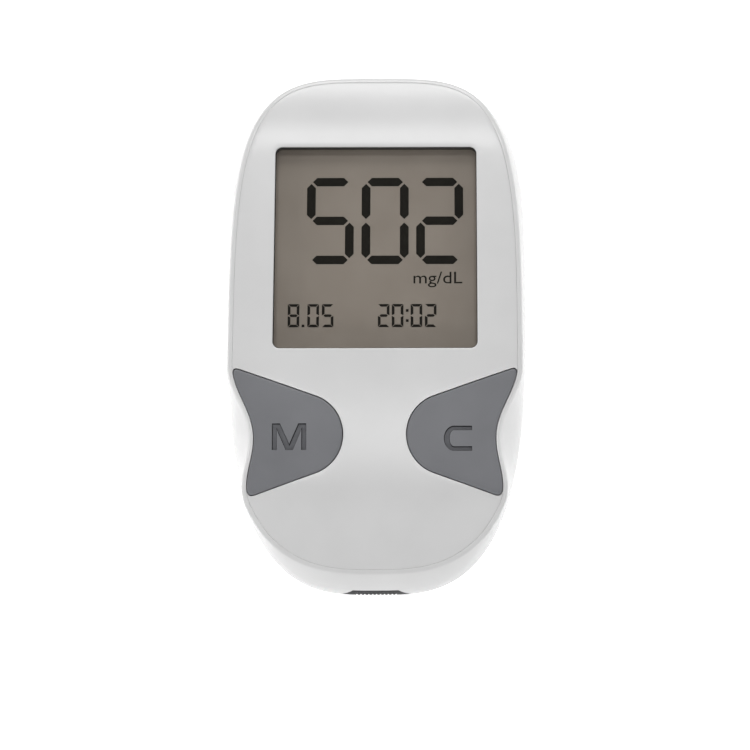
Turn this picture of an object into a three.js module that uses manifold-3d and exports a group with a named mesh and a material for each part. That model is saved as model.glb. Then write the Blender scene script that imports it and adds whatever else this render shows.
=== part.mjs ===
// Hand-held blood glucose meter, lying on its back.
// Millimetres. +Z comes out of the display face, +Y points to the display end,
// -Y to the end that takes the test strip. The origin is on the back, under the middle.

import * as THREE from 'three';
import { mergeVertices } from 'three/addons/utils/BufferGeometryUtils.js';
import Module from 'manifold-3d';

const wasm = await Module();
wasm.setup();

// Housing: the widest outline, a superellipse with its own shape towards each end
const caseHalfWidth = 27.1;
const caseWidestShare = 0.5955;
const caseUpperSquareShare = 3.65;
const caseLowerSquareShare = 3.03;
const seamHeight = 10;
const caseWall = 1.8;
const backRounding = 6.5;
const wallBulgeShare = 2;

// Lengths that add up to the meter's length: port end to bay, the bay itself, bay to display end
const portRoom = 35.32;
const bayEndRoom = 6.83;

// Face: the rim's inner edge, which the face panel and the keys fill
const rimSideInset = 1.95;
const rimUpperInset = 1.48;
const rimLowerInset = 3.87;
const rimWidestShare = 0.4149;
const rimUpperSquareShare = 3.95;
const rimLowerSquareShare = 2.82;
const rimWidth = 0.75;
const rimDrop = 0.3;
const rimCrownShare = 0.16;

// Scoops in both walls beside the keys
const scoopDepth = 3.45;
const scoopLead = 0.25;
const scoopUpperReach = 12;
const scoopLowerReach = 12.5;
const scoopFadeShare = 1.3;

// Height of the face: level, then a bend and a slope to the port end, rolled off at the display end
const bendUpperReach = 10.5;
const bendLowerReach = 11.5;
const slopeAngle = THREE.MathUtils.degToRad(11);
const rollRoom = 15.7;
const rollLength = 15;
const rollDrop = 1.9;
const sideFallLength = 10;
const sideFallDrop = 0.45;

// Clearances
const seamGap = 0.3;
const slideGap = 0.3;
const glueGap = 0.1;
const overrun = 3;
const weldDistance = 0.0001;

// Face panel and the floor of the recess that carries it
const panelThickness = 1.6;
const floorThickness = 1.4;

// Display
const windowSideInset = 7.15;
const windowUpperInset = 14.3;
const windowKeyRoom = 15.15;
const windowCorner = 1.25;
const windowBevel = 0.35;
const lensRecess = 1.1;
const lensThickness = 0.9;
const lensMargin = 1.3;
const lensCorner = 1.6;
const glassThickness = 0.6;
const glassMargin = 1.6;
const glassLedge = 1.1;
const holderHeight = 4.9;
const holderWall = 0.9;
const holderPlate = 1.2;
const holderCorner = 1.2;
const zebraThickness = 0.9;
const zebraInset = 2;

// Keys
const keyLength = 12.55;
const keyRoom = 27.225;
const keyNoseRadius = 7.3;
const keyFlareAngle = THREE.MathUtils.degToRad(19.5);
const keyCornerEase = 0.9;
const keyProud = 0.15;
const keyDraft = 0.15;
const keyFlangeWidth = 0.8;
const keyFlangeThickness = 0.8;
const keyTravel = 0.8;
const keyWellLedge = 0.1;
const plungerLead = 1.9;
const plungerRadius = 2.3;

// Silicone domes and their contact pills
const domeBaseRadius = 5;
const domeBaseThickness = 0.6;
const domeFootRadius = 4;
const domeTopRadius = 2.7;
const domeHeight = 3.1;
const domeWall = 0.6;
const pillRadius = 1.6;

// Circuit board and what is soldered to it
const boardThickness = 1;
const boardSideRoom = 7.1;
const boardUpperRoom = 12.2;
const boardLowerRoom = 13.2;
const boardCorner = 4;
const boardTongueHalfWidth = 8;
const boardTongueRoom = 3.7;
const chipSide = 9;
const chipThickness = 1.4;
const chipInset = 8;
const buzzerRadius = 6;
const buzzerThickness = 2.4;
const buzzerPort = 1;
const buzzerInset = 7.5;
const crystalRadius = 1;
const crystalLength = 6.2;
const crystalInset = 7;
const crystalRoom = 3;

// Test strip port
const portHeight = 7.3;
const portTopHalfWidth = 3.95;
const portHalfWidth = 5.85;
const portShoulderShare = 0.3;
const portDrop = 0.2;
const portDepth = 3.7;
const portFlangeWidth = 0.35;
const portFlangeThickness = 0.6;
const portRibWidth = 0.35;
const portRibDepth = 0.3;
const portRibCount = 7;
const slotWidth = 7;
const slotHeight = 1.5;
const slotFunnel = 0.8;
const connectorHalfWidth = 6;
const connectorLength = 8.7;
const connectorFloor = 1;
const connectorChannelWidth = 1.3;
const connectorChannelHeight = 2;
const contactWidth = 0.8;
const contactThickness = 0.25;
const contactPitch = 2.2;
const contactCount = 3;
const contactBendShare = 0.5;
const contactDipShare = 0.33;
const contactTipShare = 0.2;
const mitreLimitShare = 0.5;

// Battery bay for two AAA cells
const cellRadius = 5.25;
const cellLength = 43.7;
const cellNubRadius = 1.9;
const cellNubLength = 0.8;
const cellEdge = 0.25;
const bayRib = 0.6;
const bayWall = 1.2;
const bayCeiling = 0.8;
const contactPlate = 0.4;
const contactPlateHeight = 8;
const contactPlateHalfWidth = 4.3;
const contactBump = 0.5;
const coilWire = 0.25;
const coilBaseRadius = 3.2;
const coilTopRadius = 2;
const coilLength = 4.7;
const coilTurnCount = 3;
const nubSpreadShare = 1.3;

// Battery door
const doorRecess = 0.3;
const doorThickness = 1.4;
const doorSideLap = 1.4;
const doorEndLap = 3.5;
const doorTongueWidth = 1.3;
const doorTongueThickness = 0.7;
const doorWebWidth = 1.3;
const doorNoseHalfWidth = 2.5;
const doorNoseLength = 1.7;
const doorWallRoom = 0.4;
const doorReliefHalfWidth = 3.1;
const gripRibCount = 6;
const gripRibPitch = 1.6;
const gripRibWidth = 0.7;
const gripRibHeight = 0.2;
const gripRibHalfWidth = 6.5;
const gripRoom = 8.5;
const channelRoof = 1.2;

// Screws
const caseScrewChannelRoom = 1.8;
const caseScrewUpperRoom = 9.7;
const caseScrewLowerInset = 12.6;
const caseScrewLowerRoom = 10.7;
const screwHeadRadius = 1.9;
const screwHeadHeight = 1.4;
const screwDomeShare = 0.6;
const screwRadius = 0.8;
const caseScrewSeatZ = 4.4;
const caseScrewLength = 8.5;
const boardScrewLength = 4;
const boardScrewBayRoom = 2.9;
const boardScrewPortRoom = 4;
const bossWall = 1.4;
const rearBossWall = 0.8;

// Lip of the rear cover inside the front cover's wall
const lipThickness = 0.75;
const lipHeight = 1.2;

// Fineness
const outlineCount = 78;
const roundCount = 24;
const halvingCount = 40;
const smallRoundCount = 12;
const cellSideCount = 16;
const sideStepCount = 3;
const bendStepCount = 6;
const rollStepCount = 6;

// Places along the meter, worked out from the sizes above
const contactRoom = seamGap + contactPlate;
const bayLength = 2 * contactRoom + contactBump + coilLength + cellLength + cellNubLength + 2 * glueGap;
const caseSpan = portRoom + bayLength + bayEndRoom;
const caseEndY = -caseSpan / 2;
const caseTopY = caseSpan / 2;
const caseWidestY = caseEndY + caseSpan * caseWidestShare;
const caseUpperReach = caseTopY - caseWidestY;
const caseLowerReach = caseWidestY - caseEndY;
const rimHalfWidth = caseHalfWidth - rimSideInset;
const rimWidestY = caseEndY + caseSpan * rimWidestShare;
const rimUpperReach = caseTopY - rimUpperInset - rimWidestY;
const rimLowerReach = rimWidestY - caseEndY - rimLowerInset;
const bayLowerY = caseEndY + portRoom;
const bayUpperY = bayLowerY + bayLength;
const keyY = caseEndY + keyRoom;
const keyNoseX = rimHalfWidth - keyLength;
const plungerX = keyNoseX + plungerLead;
const scoopY = keyY + scoopLead;
const bendStartY = keyY + bendUpperReach;
const bendEndY = keyY - bendLowerReach;
const rollStartY = caseTopY - rollRoom;
const sideFallStart = rimHalfWidth - sideFallLength;
const windowWidth = 2 * (rimHalfWidth - windowSideInset);
const windowHighY = caseTopY - windowUpperInset;
const windowLowY = keyY + windowKeyRoom;
const windowHeight = windowHighY - windowLowY;
const windowY = (windowHighY + windowLowY) / 2;
const portBackY = caseEndY + portDepth;
const connectorFrontY = portBackY + seamGap;
const connectorBackY = connectorFrontY + connectorLength;
const boardHalfWidth = caseHalfWidth - boardSideRoom;
const boardUpperY = caseTopY - boardUpperRoom;
const boardLowerY = caseEndY + boardLowerRoom;
const boardTongueY = connectorFrontY + boardTongueRoom;
const boardScrewUpperY = bayLowerY - bayWall - boardScrewBayRoom;
const boardScrewLowerY = connectorBackY + boardScrewPortRoom;
const chipY = (connectorBackY + bayLowerY - bayWall) / 2;
const chipX = chipInset - boardHalfWidth;
const buzzerX = boardHalfWidth - buzzerInset;
const crystalX = crystalInset - boardHalfWidth;
const crystalY = chipY - chipSide / 2 - crystalRoom;
const cellX = cellRadius + slideGap + bayRib / 2;
const bayHalfWidth = cellX + cellRadius + slideGap;
const doorHalfWidth = bayHalfWidth + doorSideLap;
const channelHalfWidth = doorHalfWidth + doorTongueWidth + slideGap + bayWall;
const doorLowerY = bayLowerY - doorEndLap;
const doorEndWallY = bayUpperY + bayWall + doorWallRoom;
const gripY = doorLowerY + gripRoom;
const caseScrewUpperX = channelHalfWidth + caseScrewChannelRoom;
const caseScrewUpperY = caseTopY - caseScrewUpperRoom;
const caseScrewLowerX = caseHalfWidth - caseScrewLowerInset;
const caseScrewLowerY = caseEndY + caseScrewLowerRoom;

// Levels above the back, worked out from the sizes above
const doorInside = doorRecess + doorThickness;
const cellCentreZ = doorInside + slideGap + cellRadius;
const bayTop = cellCentreZ + cellRadius + glueGap;
const boardBottom = bayTop + bayCeiling + seamGap;
const boardTop = boardBottom + boardThickness;
const glassTop = boardTop + holderHeight;
const rearGlassTop = glassTop - glassThickness;
const holderPlateTop = rearGlassTop - glassThickness;
const lensTop = glassTop + seamGap + lensThickness;
const caseHeight = lensTop + glueGap + lensRecess;
const faceFloorDepth = panelThickness + seamGap;
const floorUnderside = faceFloorDepth + floorThickness;
const keyBottomDepth = faceFloorDepth + keyFlangeThickness;
const domeTop = boardTop + domeHeight;
const tongueBottom = caseWall + slideGap;
const tongueTop = tongueBottom + doorTongueThickness;
const channelTop = tongueTop + slideGap;
const frontSeam = seamHeight + seamGap / 2;
const rearSeam = seamHeight - seamGap / 2;
const portCentreZ = seamHeight - portDrop;

// Materials
const material = (color, roughness, metalness) =>
  new THREE.MeshStandardMaterial({ color, roughness, metalness });
const whitePlastic = material(0xe9eae8, 0.4, 0);
const greyKeyPlastic = material(0x7c7d81, 0.5, 0);
const darkPlastic = material(0x4a4b4d, 0.55, 0);
const clearPlastic = material(0xdfe4e4, 0.05, 0);
const cellGlass = material(0x807a72, 0.15, 0);
const holderPlastic = material(0xf2f2f0, 0.5, 0);
const elastomer = material(0x9a9a98, 0.7, 0);
const boardLaminate = material(0x1f6b3a, 0.5, 0);
const chipResin = material(0x1c1c1e, 0.6, 0);
const canMetal = material(0xc4c6c8, 0.3, 1);
const silicone = material(0xcfd2d4, 0.6, 0);
const carbon = material(0x161616, 0.8, 0);
const connectorPlastic = material(0xece6d6, 0.5, 0);
const goldPlate = material(0xd4b060, 0.25, 1);
const springSteel = material(0xb9bbbd, 0.3, 1);
const cellSleeve = material(0x3a5f8a, 0.35, 0);
const screwSteel = material(0xa9abad, 0.35, 1);

// Closed solid from a geometry, with shared corners merged
function solid(geometry) {
  const bare = geometry.clone();
  bare.deleteAttribute('normal');
  bare.deleteAttribute('uv');
  const merged = mergeVertices(bare, weldDistance);
  return new wasm.Manifold(new wasm.Mesh({
    numProp: 3,
    vertProperties: new Float32Array(merged.attributes.position.array),
    triVerts: new Uint32Array(merged.index.array),
  }));
}

// Geometry from a cut or joined solid
function geometryOf(body) {
  const cut = body.getMesh();
  const geometry = new THREE.BufferGeometry();
  geometry.setAttribute('position', new THREE.BufferAttribute(new Float32Array(cut.vertProperties), 3));
  geometry.setIndex(new THREE.BufferAttribute(new Uint32Array(cut.triVerts), 1));
  return geometry;
}

const root = new THREE.Group();

// Names a piece and adds it to the assembly
function addPiece(name, body, finish) {
  const geometry = body.isBufferGeometry ? body : geometryOf(body);
  const flat = geometry.index ? geometry.toNonIndexed() : geometry;
  flat.computeVertexNormals();
  const mesh = new THREE.Mesh(flat, finish);
  mesh.name = name;
  root.add(mesh);
  return mesh;
}

// Box between two corners
function block(x0, x1, y0, y1, z0, z1) {
  const geometry = new THREE.BoxGeometry(x1 - x0, y1 - y0, z1 - z0);
  geometry.translate((x0 + x1) / 2, (y0 + y1) / 2, (z0 + z1) / 2);
  return solid(geometry);
}

// Straight prism of a flat shape between two heights
function prism(shape, z0, z1) {
  const geometry = new THREE.ExtrudeGeometry(shape, {
    depth: z1 - z0, bevelEnabled: false, curveSegments: roundCount / 4,
  });
  geometry.translate(0, 0, z0);
  return geometry;
}

// Upright round pin
function pin(x, y, radius, z0, z1, count = smallRoundCount) {
  const geometry = new THREE.CylinderGeometry(radius, radius, z1 - z0, count);
  geometry.rotateX(Math.PI / 2);
  geometry.translate(x, y, (z0 + z1) / 2);
  return solid(geometry);
}

// Rectangle with rounded corners, centred on x, y
function roundedRectangle(x, y, width, height, corner) {
  const shape = new THREE.Shape();
  const left = x - width / 2;
  const right = x + width / 2;
  const low = y - height / 2;
  const high = y + height / 2;
  shape.moveTo(left + corner, low);
  shape.lineTo(right - corner, low);
  shape.absarc(right - corner, low + corner, corner, -Math.PI / 2, 0);
  shape.lineTo(right, high - corner);
  shape.absarc(right - corner, high - corner, corner, 0, Math.PI / 2);
  shape.lineTo(left + corner, high);
  shape.absarc(left + corner, high - corner, corner, Math.PI / 2, Math.PI);
  shape.lineTo(left, low + corner);
  shape.absarc(left + corner, low + corner, corner, Math.PI, Math.PI * 1.5);
  return shape;
}

// Closed solid through rings of equal count, each end closed by a fan to its own centre height
function loft(rings, lowZ, highZ) {
  const count = rings[0].length;
  const positions = rings.flat().flatMap((point) => point.toArray());
  const lowCentre = rings.length * count;
  positions.push(0, 0, lowZ, 0, 0, highZ);
  const index = [];
  rings.forEach((ring, level) => {
    for (let i = 0; i < count; i += 1) {
      const j = (i + 1) % count;
      const here = level * count;
      const above = here + count;
      if (level === 0) index.push(lowCentre, here + j, here + i);
      if (level < rings.length - 1) {
        index.push(here + i, here + j, above + j);
        index.push(here + i, above + j, above + i);
      } else {
        index.push(lowCentre + 1, here + i, here + j);
      }
    }
  });
  const geometry = new THREE.BufferGeometry();
  geometry.setAttribute('position', new THREE.Float32BufferAttribute(positions, 3));
  geometry.setIndex(index);
  return geometry;
}

// Point of a superellipse whose upper and lower halves differ, at an angle from +X
function superellipse(outline, angle) {
  const across = Math.cos(angle);
  const along = Math.sin(angle);
  const upper = along >= 0;
  const power = 2 / (upper ? outline.upperSquareShare : outline.lowerSquareShare);
  const reach = upper ? outline.upperReach : outline.lowerReach;
  return new THREE.Vector2(
    outline.halfWidth * Math.sign(across) * Math.abs(across) ** power,
    outline.widestY + reach * Math.sign(along) * Math.abs(along) ** power,
  );
}

const caseOutline = {
  halfWidth: caseHalfWidth,
  upperReach: caseUpperReach,
  lowerReach: caseLowerReach,
  widestY: caseWidestY,
  upperSquareShare: caseUpperSquareShare,
  lowerSquareShare: caseLowerSquareShare,
};
const rimOutline = {
  halfWidth: rimHalfWidth,
  upperReach: rimUpperReach,
  lowerReach: rimLowerReach,
  widestY: rimWidestY,
  upperSquareShare: rimUpperSquareShare,
  lowerSquareShare: rimLowerSquareShare,
};

// Angles that space the rim's points evenly along the rim
function evenAngles(outline, count) {
  const fine = count * 16;
  const angles = Array.from({ length: fine + 1 }, (_, i) => Math.PI * (2 * i / fine - 0.5));
  const points = angles.map((angle) => superellipse(outline, angle));
  const travelled = [0];
  for (let i = 1; i <= fine; i += 1) {
    travelled.push(travelled[i - 1] + points[i].distanceTo(points[i - 1]));
  }
  const total = travelled[fine];
  return Array.from({ length: count }, (_, k) => {
    const target = total * k / count;
    const next = Math.max(1, travelled.findIndex((length) => length >= target));
    const share = (target - travelled[next - 1]) / (travelled[next] - travelled[next - 1]);
    return THREE.MathUtils.lerp(angles[next - 1], angles[next], share);
  });
}
const stations = evenAngles(rimOutline, outlineCount);

// Outward directions of a closed ring of plan points
function outward(points) {
  return points.map((_, i) => {
    const before = points[(i + points.length - 1) % points.length];
    const after = points[(i + 1) % points.length];
    return new THREE.Vector2(after.y - before.y, before.x - after.x).normalize();
  });
}
const openRimPoints = stations.map((angle) => superellipse(rimOutline, angle));
const openRimOutward = outward(openRimPoints);

// Whether a plan point lies inside a superellipse
function isInside(outline, point) {
  const upper = point.y > outline.widestY;
  const power = upper ? outline.upperSquareShare : outline.lowerSquareShare;
  const reach = upper ? outline.upperReach : outline.lowerReach;
  const along = Math.abs(point.y - outline.widestY) / reach;
  return Math.abs(point.x / outline.halfWidth) ** power + along ** power < 1;
}

// Where the ray square to the rim meets the widest outline, found by halving
const casePoints = openRimPoints.map((point, i) => {
  let near = 0;
  let far = caseHalfWidth;
  for (let step = 0; step < halvingCount; step += 1) {
    const middle = (near + far) / 2;
    const place = point.clone().addScaledVector(openRimOutward[i], middle);
    if (isInside(caseOutline, place)) near = middle;
    else far = middle;
  }
  return point.clone().addScaledVector(openRimOutward[i], near);
});
const caseOutward = outward(casePoints);

// How far a scoop draws the wall in at a place along the meter: a squared cosine hump
function scoopAt(y) {
  const reach = y > scoopY ? scoopUpperReach : scoopLowerReach;
  const share = Math.min(Math.abs(y - scoopY) / reach, 1);
  return scoopDepth * Math.cos(share * Math.PI / 2) ** 2;
}

// Half width of the rim's inner edge at a place along the meter
function rimEdgeAt(y) {
  const upper = y > rimWidestY;
  const reach = upper ? rimUpperReach : rimLowerReach;
  const power = upper ? rimUpperSquareShare : rimLowerSquareShare;
  const share = Math.min(Math.abs((y - rimWidestY) / reach), 1);
  return rimHalfWidth * (1 - share ** power) ** (1 / power) - scoopAt(y);
}

// Height of the display face over a place
function faceHeight(x, y) {
  const slope = Math.tan(slopeAngle);
  const bend = THREE.MathUtils.clamp(bendStartY - y, 0, bendStartY - bendEndY);
  const straight = Math.max(bendEndY - y, 0);
  const roll = Math.max(y - rollStartY, 0) / rollLength;
  const side = Math.max(Math.abs(x) - sideFallStart, 0) / sideFallLength;
  return caseHeight
    - slope * bend ** 2 / (2 * (bendStartY - bendEndY)) - slope * straight
    - rollDrop * roll ** 2 - sideFallDrop * side ** 2;
}

// Plan ring moved out from the rim's inner edge, with the scoops
function rimRing(move) {
  return openRimPoints.map((point, i) => {
    const moved = point.clone().addScaledVector(openRimOutward[i], move);
    moved.x -= Math.sign(point.x) * scoopAt(point.y);
    return moved;
  });
}

// Plan ring moved in from the widest outline
function caseRing(inset) {
  return casePoints.map((point, i) => point.clone().addScaledVector(caseOutward[i], -inset));
}

// Ring of the front wall: share 0 is under the rim, share 1 the seam
function wallRing(share, inset) {
  const spread = 1 - (1 - share) ** wallBulgeShare;
  return openRimPoints.map((point, i) => {
    const top = point.clone().addScaledVector(openRimOutward[i], rimWidth);
    const place = top.lerp(casePoints[i], spread);
    place.x -= Math.sign(point.x) * scoopAt(point.y) * (1 - share) ** scoopFadeShare;
    place.addScaledVector(openRimOutward[i], -inset);
    const topZ = faceHeight(point.x, point.y) - rimDrop;
    return new THREE.Vector3(place.x, place.y, THREE.MathUtils.lerp(topZ, frontSeam, share));
  });
}

// Raises a plan ring to one height, or to the face less a depth
const atHeight = (ring, z) => ring.map((point) => new THREE.Vector3(point.x, point.y, z));
const onFace = (ring, depth) =>
  ring.map((point) => new THREE.Vector3(point.x, point.y, faceHeight(point.x, point.y) - depth));

// Even steps from one value to another, without the first
const stepsTo = (from, to, count) =>
  Array.from({ length: count }, (_, i) => THREE.MathUtils.lerp(from, to, (i + 1) / count));

// Layer that follows the face between two depths, wider than the meter.
// Its grid lines stand only where the face bends.
function faceLayer(topDepth, bottomDepth) {
  const halfX = caseHalfWidth + overrun;
  const halfY = caseSpan / 2 + overrun;
  const sideLines = [sideFallStart, ...stepsTo(sideFallStart, halfX, sideStepCount)];
  const xs = [...sideLines.map((x) => -x).reverse(), ...sideLines];
  const ys = [
    -halfY, bendEndY, ...stepsTo(bendEndY, bendStartY, bendStepCount),
    rollStartY, ...stepsTo(rollStartY, halfY, rollStepCount),
  ];
  const columns = xs.length;
  const rows = ys.length;
  const positions = [bottomDepth, topDepth].flatMap(
    (depth) => ys.flatMap((y) => xs.flatMap((x) => [x, y, faceHeight(x, y) - depth])),
  );
  const index = [];
  const layer = columns * rows;
  const quad = (a, b, c, d) => index.push(a, b, c, a, c, d);
  for (let row = 0; row < rows - 1; row += 1) {
    for (let column = 0; column < columns - 1; column += 1) {
      const a = row * columns + column;
      quad(a, a + columns, a + columns + 1, a + 1);
      quad(layer + a, layer + a + 1, layer + a + columns + 1, layer + a + columns);
    }
  }
  for (let column = 0; column < columns - 1; column += 1) {
    const far = (rows - 1) * columns + column;
    quad(column, column + 1, layer + column + 1, layer + column);
    quad(far + 1, far, layer + far, layer + far + 1);
  }
  for (let row = 0; row < rows - 1; row += 1) {
    const left = row * columns;
    const right = left + columns - 1;
    quad(left + columns, left, layer + left, layer + left + columns);
    quad(right, right + columns, layer + right + columns, layer + right);
  }
  const geometry = new THREE.BufferGeometry();
  geometry.setAttribute('position', new THREE.Float32BufferAttribute(positions, 3));
  geometry.setIndex(index);
  return solid(geometry);
}

// Outer body of the front cover, closed over the top
function frontBody() {
  const wallShares = [1, 0.7, 0.4, 0.18, 0];
  const rings = wallShares.map((share) => wallRing(share, 0));
  rings.push(onFace(rimRing(rimWidth / 2), rimDrop * rimCrownShare));
  rings.push(onFace(rimRing(-rimWidth), 0));
  return solid(loft(rings, frontSeam, caseHeight + overrun));
}

// Hollow of the front cover, before its top is cut by the recess floor
function frontHollow() {
  const wallShares = [1, 0.66, 0.33, 0];
  const rings = wallShares.map((share) => wallRing(share, caseWall));
  rings.unshift(rings[0].map((point) => point.clone().setZ(frontSeam - overrun)));
  return solid(loft(rings, frontSeam - overrun, caseHeight + overrun));
}

// Section of the back: a quarter ellipse from the seam to the flat, at a share of its turn
function backRing(share, inset, lowZ) {
  const turn = share * Math.PI / 2;
  const round = inset + (backRounding - inset / 2) * (1 - Math.cos(turn));
  return atHeight(caseRing(round), lowZ + (rearSeam - lowZ) * (1 - Math.sin(turn)));
}

// Outer body of the rear cover, closed over the seam
function rearBody() {
  const turnShares = [1, 0.8, 0.6, 0.4, 0.2, 0];
  const rings = turnShares.map((share) => backRing(share, 0, 0));
  return solid(loft(rings, 0, rearSeam));
}

function rearHollow() {
  const turnShares = [1, 0.66, 0.33, 0];
  const rings = turnShares.map((share) => backRing(share, caseWall, caseWall));
  rings.push(atHeight(caseRing(caseWall), rearSeam + overrun));
  return solid(loft(rings, caseWall, rearSeam + overrun));
}

const shapeOf = (points) => new THREE.Shape(points.map((point) => new THREE.Vector2(point.x, point.y)));

// Outline of a key: a round nose, two straight flanks and the rim's own edge.
// grow moves nose and flanks out, inset holds the outer edge in from the rim.
function keyOutline(side, grow, inset) {
  const radius = keyNoseRadius + grow;
  const along = new THREE.Vector2(Math.cos(keyFlareAngle), Math.sin(keyFlareAngle));
  const touch = new THREE.Vector2(
    keyNoseX - radius * Math.sin(keyFlareAngle),
    radius * Math.cos(keyFlareAngle),
  );
  const meet = (sign) => {
    let near = 0;
    let far = rimHalfWidth * 2;
    for (let i = 0; i < halvingCount; i += 1) {
      const middle = (near + far) / 2;
      const x = touch.x + along.x * middle;
      const y = keyY + sign * (touch.y + along.y * middle);
      if (x < rimEdgeAt(y) - inset) near = middle;
      else far = middle;
    }
    return new THREE.Vector2(touch.x + along.x * near, keyY + sign * (touch.y + along.y * near));
  };
  const upper = meet(1);
  const lower = meet(-1);
  const outline = new THREE.Path();
  const noseStart = Math.PI / 2 + keyFlareAngle;
  const ease = keyCornerEase + grow / 2;
  outline.absarc(keyNoseX, keyY, radius, noseStart, 2 * Math.PI - noseStart);
  const edgeY = (share) => THREE.MathUtils.lerp(lower.y + ease, upper.y - ease, share);
  const edge = (share) => new THREE.Vector2(rimEdgeAt(edgeY(share)) - inset, edgeY(share));
  const lowerEnd = lower.clone().addScaledVector(new THREE.Vector2(-along.x, along.y), ease);
  const upperEnd = upper.clone().addScaledVector(along, -ease);
  outline.lineTo(lowerEnd.x, lowerEnd.y);
  outline.quadraticCurveTo(lower.x, lower.y, edge(0).x, edge(0).y);
  const edgeSteps = roundCount / 2;
  for (let i = 1; i <= edgeSteps; i += 1) {
    const place = edge(i / edgeSteps);
    outline.lineTo(place.x, place.y);
  }
  outline.quadraticCurveTo(upper.x, upper.y, upperEnd.x, upperEnd.y);
  const points = outline.getPoints(roundCount / 4);
  const sided = points.map((point) => new THREE.Vector2(side * point.x, point.y));
  return side > 0 ? sided : sided.reverse();
}

// Prism whose upper outline is drawn in, for moulding draft
function draftedPrism(lowPoints, highPoints, z0, z1) {
  const count = lowPoints.length;
  const faces = THREE.ShapeUtils.triangulateShape(lowPoints, []);
  const positions = [
    ...lowPoints.flatMap((point) => [point.x, point.y, z0]),
    ...highPoints.flatMap((point) => [point.x, point.y, z1]),
  ];
  const index = [];
  for (const [a, b, c] of faces) {
    index.push(a, c, b);
    index.push(a + count, b + count, c + count);
  }
  for (let i = 0; i < count; i += 1) {
    const j = (i + 1) % count;
    index.push(i, j, j + count);
    index.push(i, j + count, i + count);
  }
  const geometry = new THREE.BufferGeometry();
  geometry.setAttribute('position', new THREE.Float32BufferAttribute(positions, 3));
  geometry.setIndex(index);
  return solid(geometry);
}

const keySides = [
  { side: -1, name: 'memory_key' },
  { side: 1, name: 'code_key' },
];
const aboveAll = caseHeight + overrun;
const caseScrewPlaces = [
  [-caseScrewUpperX, caseScrewUpperY],
  [caseScrewUpperX, caseScrewUpperY],
  [-caseScrewLowerX, caseScrewLowerY],
  [caseScrewLowerX, caseScrewLowerY],
];
const boardScrewYs = [boardScrewUpperY, boardScrewLowerY];

// Outline of the strip port in its own plane: a trapezium above and below a broad middle
function portShape(grow) {
  const half = portHeight / 2 + grow;
  const broad = portHalfWidth + grow;
  const narrow = portTopHalfWidth + grow;
  const shoulder = half * portShoulderShare;
  return shapeOf([
    { x: -narrow, y: -half }, { x: narrow, y: -half }, { x: broad, y: -shoulder },
    { x: broad, y: shoulder }, { x: narrow, y: half }, { x: -narrow, y: half },
    { x: -broad, y: shoulder }, { x: -broad, y: -shoulder },
  ]);
}

// Prism of the port's outline that runs along Y
function portPrism(grow, y0, y1) {
  const geometry = prism(portShape(grow), 0, y1 - y0);
  geometry.rotateX(Math.PI / 2);
  geometry.translate(0, y1, portCentreZ);
  return solid(geometry);
}

// Front cover
const lcdFrame = {
  width: windowWidth + 2 * (glassMargin + holderWall + glueGap),
  low: windowY - windowHeight / 2 - glassMargin - holderWall,
  high: windowY + windowHeight / 2 + glassMargin + holderWall,
};
const lcdFrameHeight = lcdFrame.high - lcdFrame.low;
const lcdFrameY = (lcdFrame.high + lcdFrame.low) / 2;

function frontCover() {
  let cover = frontBody();
  const below = caseHeight + overrun;
  cover = cover.subtract(frontHollow().intersect(faceLayer(floorUnderside, below)));
  const recess = solid(prism(shapeOf(rimRing(0)), seamHeight, aboveAll + overrun));
  cover = cover.subtract(recess.intersect(faceLayer(-2 * overrun, faceFloorDepth)));
  for (const [x, y] of caseScrewPlaces) {
    const top = faceHeight(x, y) - floorUnderside + floorThickness / 2;
    const radius = screwRadius + seamGap + bossWall;
    cover = cover.add(pin(x, y, radius, frontSeam, top).intersect(frontBody()));
    const depth = caseScrewSeatZ + caseScrewLength + seamGap;
    cover = cover.subtract(pin(x, y, screwRadius + seamGap, seamHeight - overrun, depth));
  }
  for (const y of boardScrewYs) {
    const top = faceHeight(0, y) - floorUnderside + floorThickness / 2;
    const radius = screwRadius + seamGap + bossWall;
    cover = cover.add(pin(0, y, radius, boardTop + glueGap, top));
    const depth = boardBottom + boardScrewLength - seamGap;
    cover = cover.subtract(pin(0, y, screwRadius + seamGap, boardBottom - overrun, depth));
  }
  const lcdHole = roundedRectangle(
    0, lcdFrameY, lcdFrame.width + 2 * seamGap, lcdFrameHeight + 2 * seamGap, holderCorner + seamGap,
  );
  cover = cover.subtract(solid(prism(lcdHole, boardTop, aboveAll)));
  for (const { side } of keySides) {
    const well = keyOutline(side, keyFlangeWidth + slideGap, keyWellLedge);
    cover = cover.subtract(solid(prism(shapeOf(well), boardTop, aboveAll)));
  }
  const rebateOuter = shapeOf(caseRing(caseWall - lipThickness - seamGap));
  const rebateTop = seamHeight + lipHeight + seamGap;
  cover = cover.subtract(solid(prism(rebateOuter, seamHeight - overrun, rebateTop)));
  return cover.subtract(portPrism(seamGap, caseEndY - overrun, portBackY + overrun));
}

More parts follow.
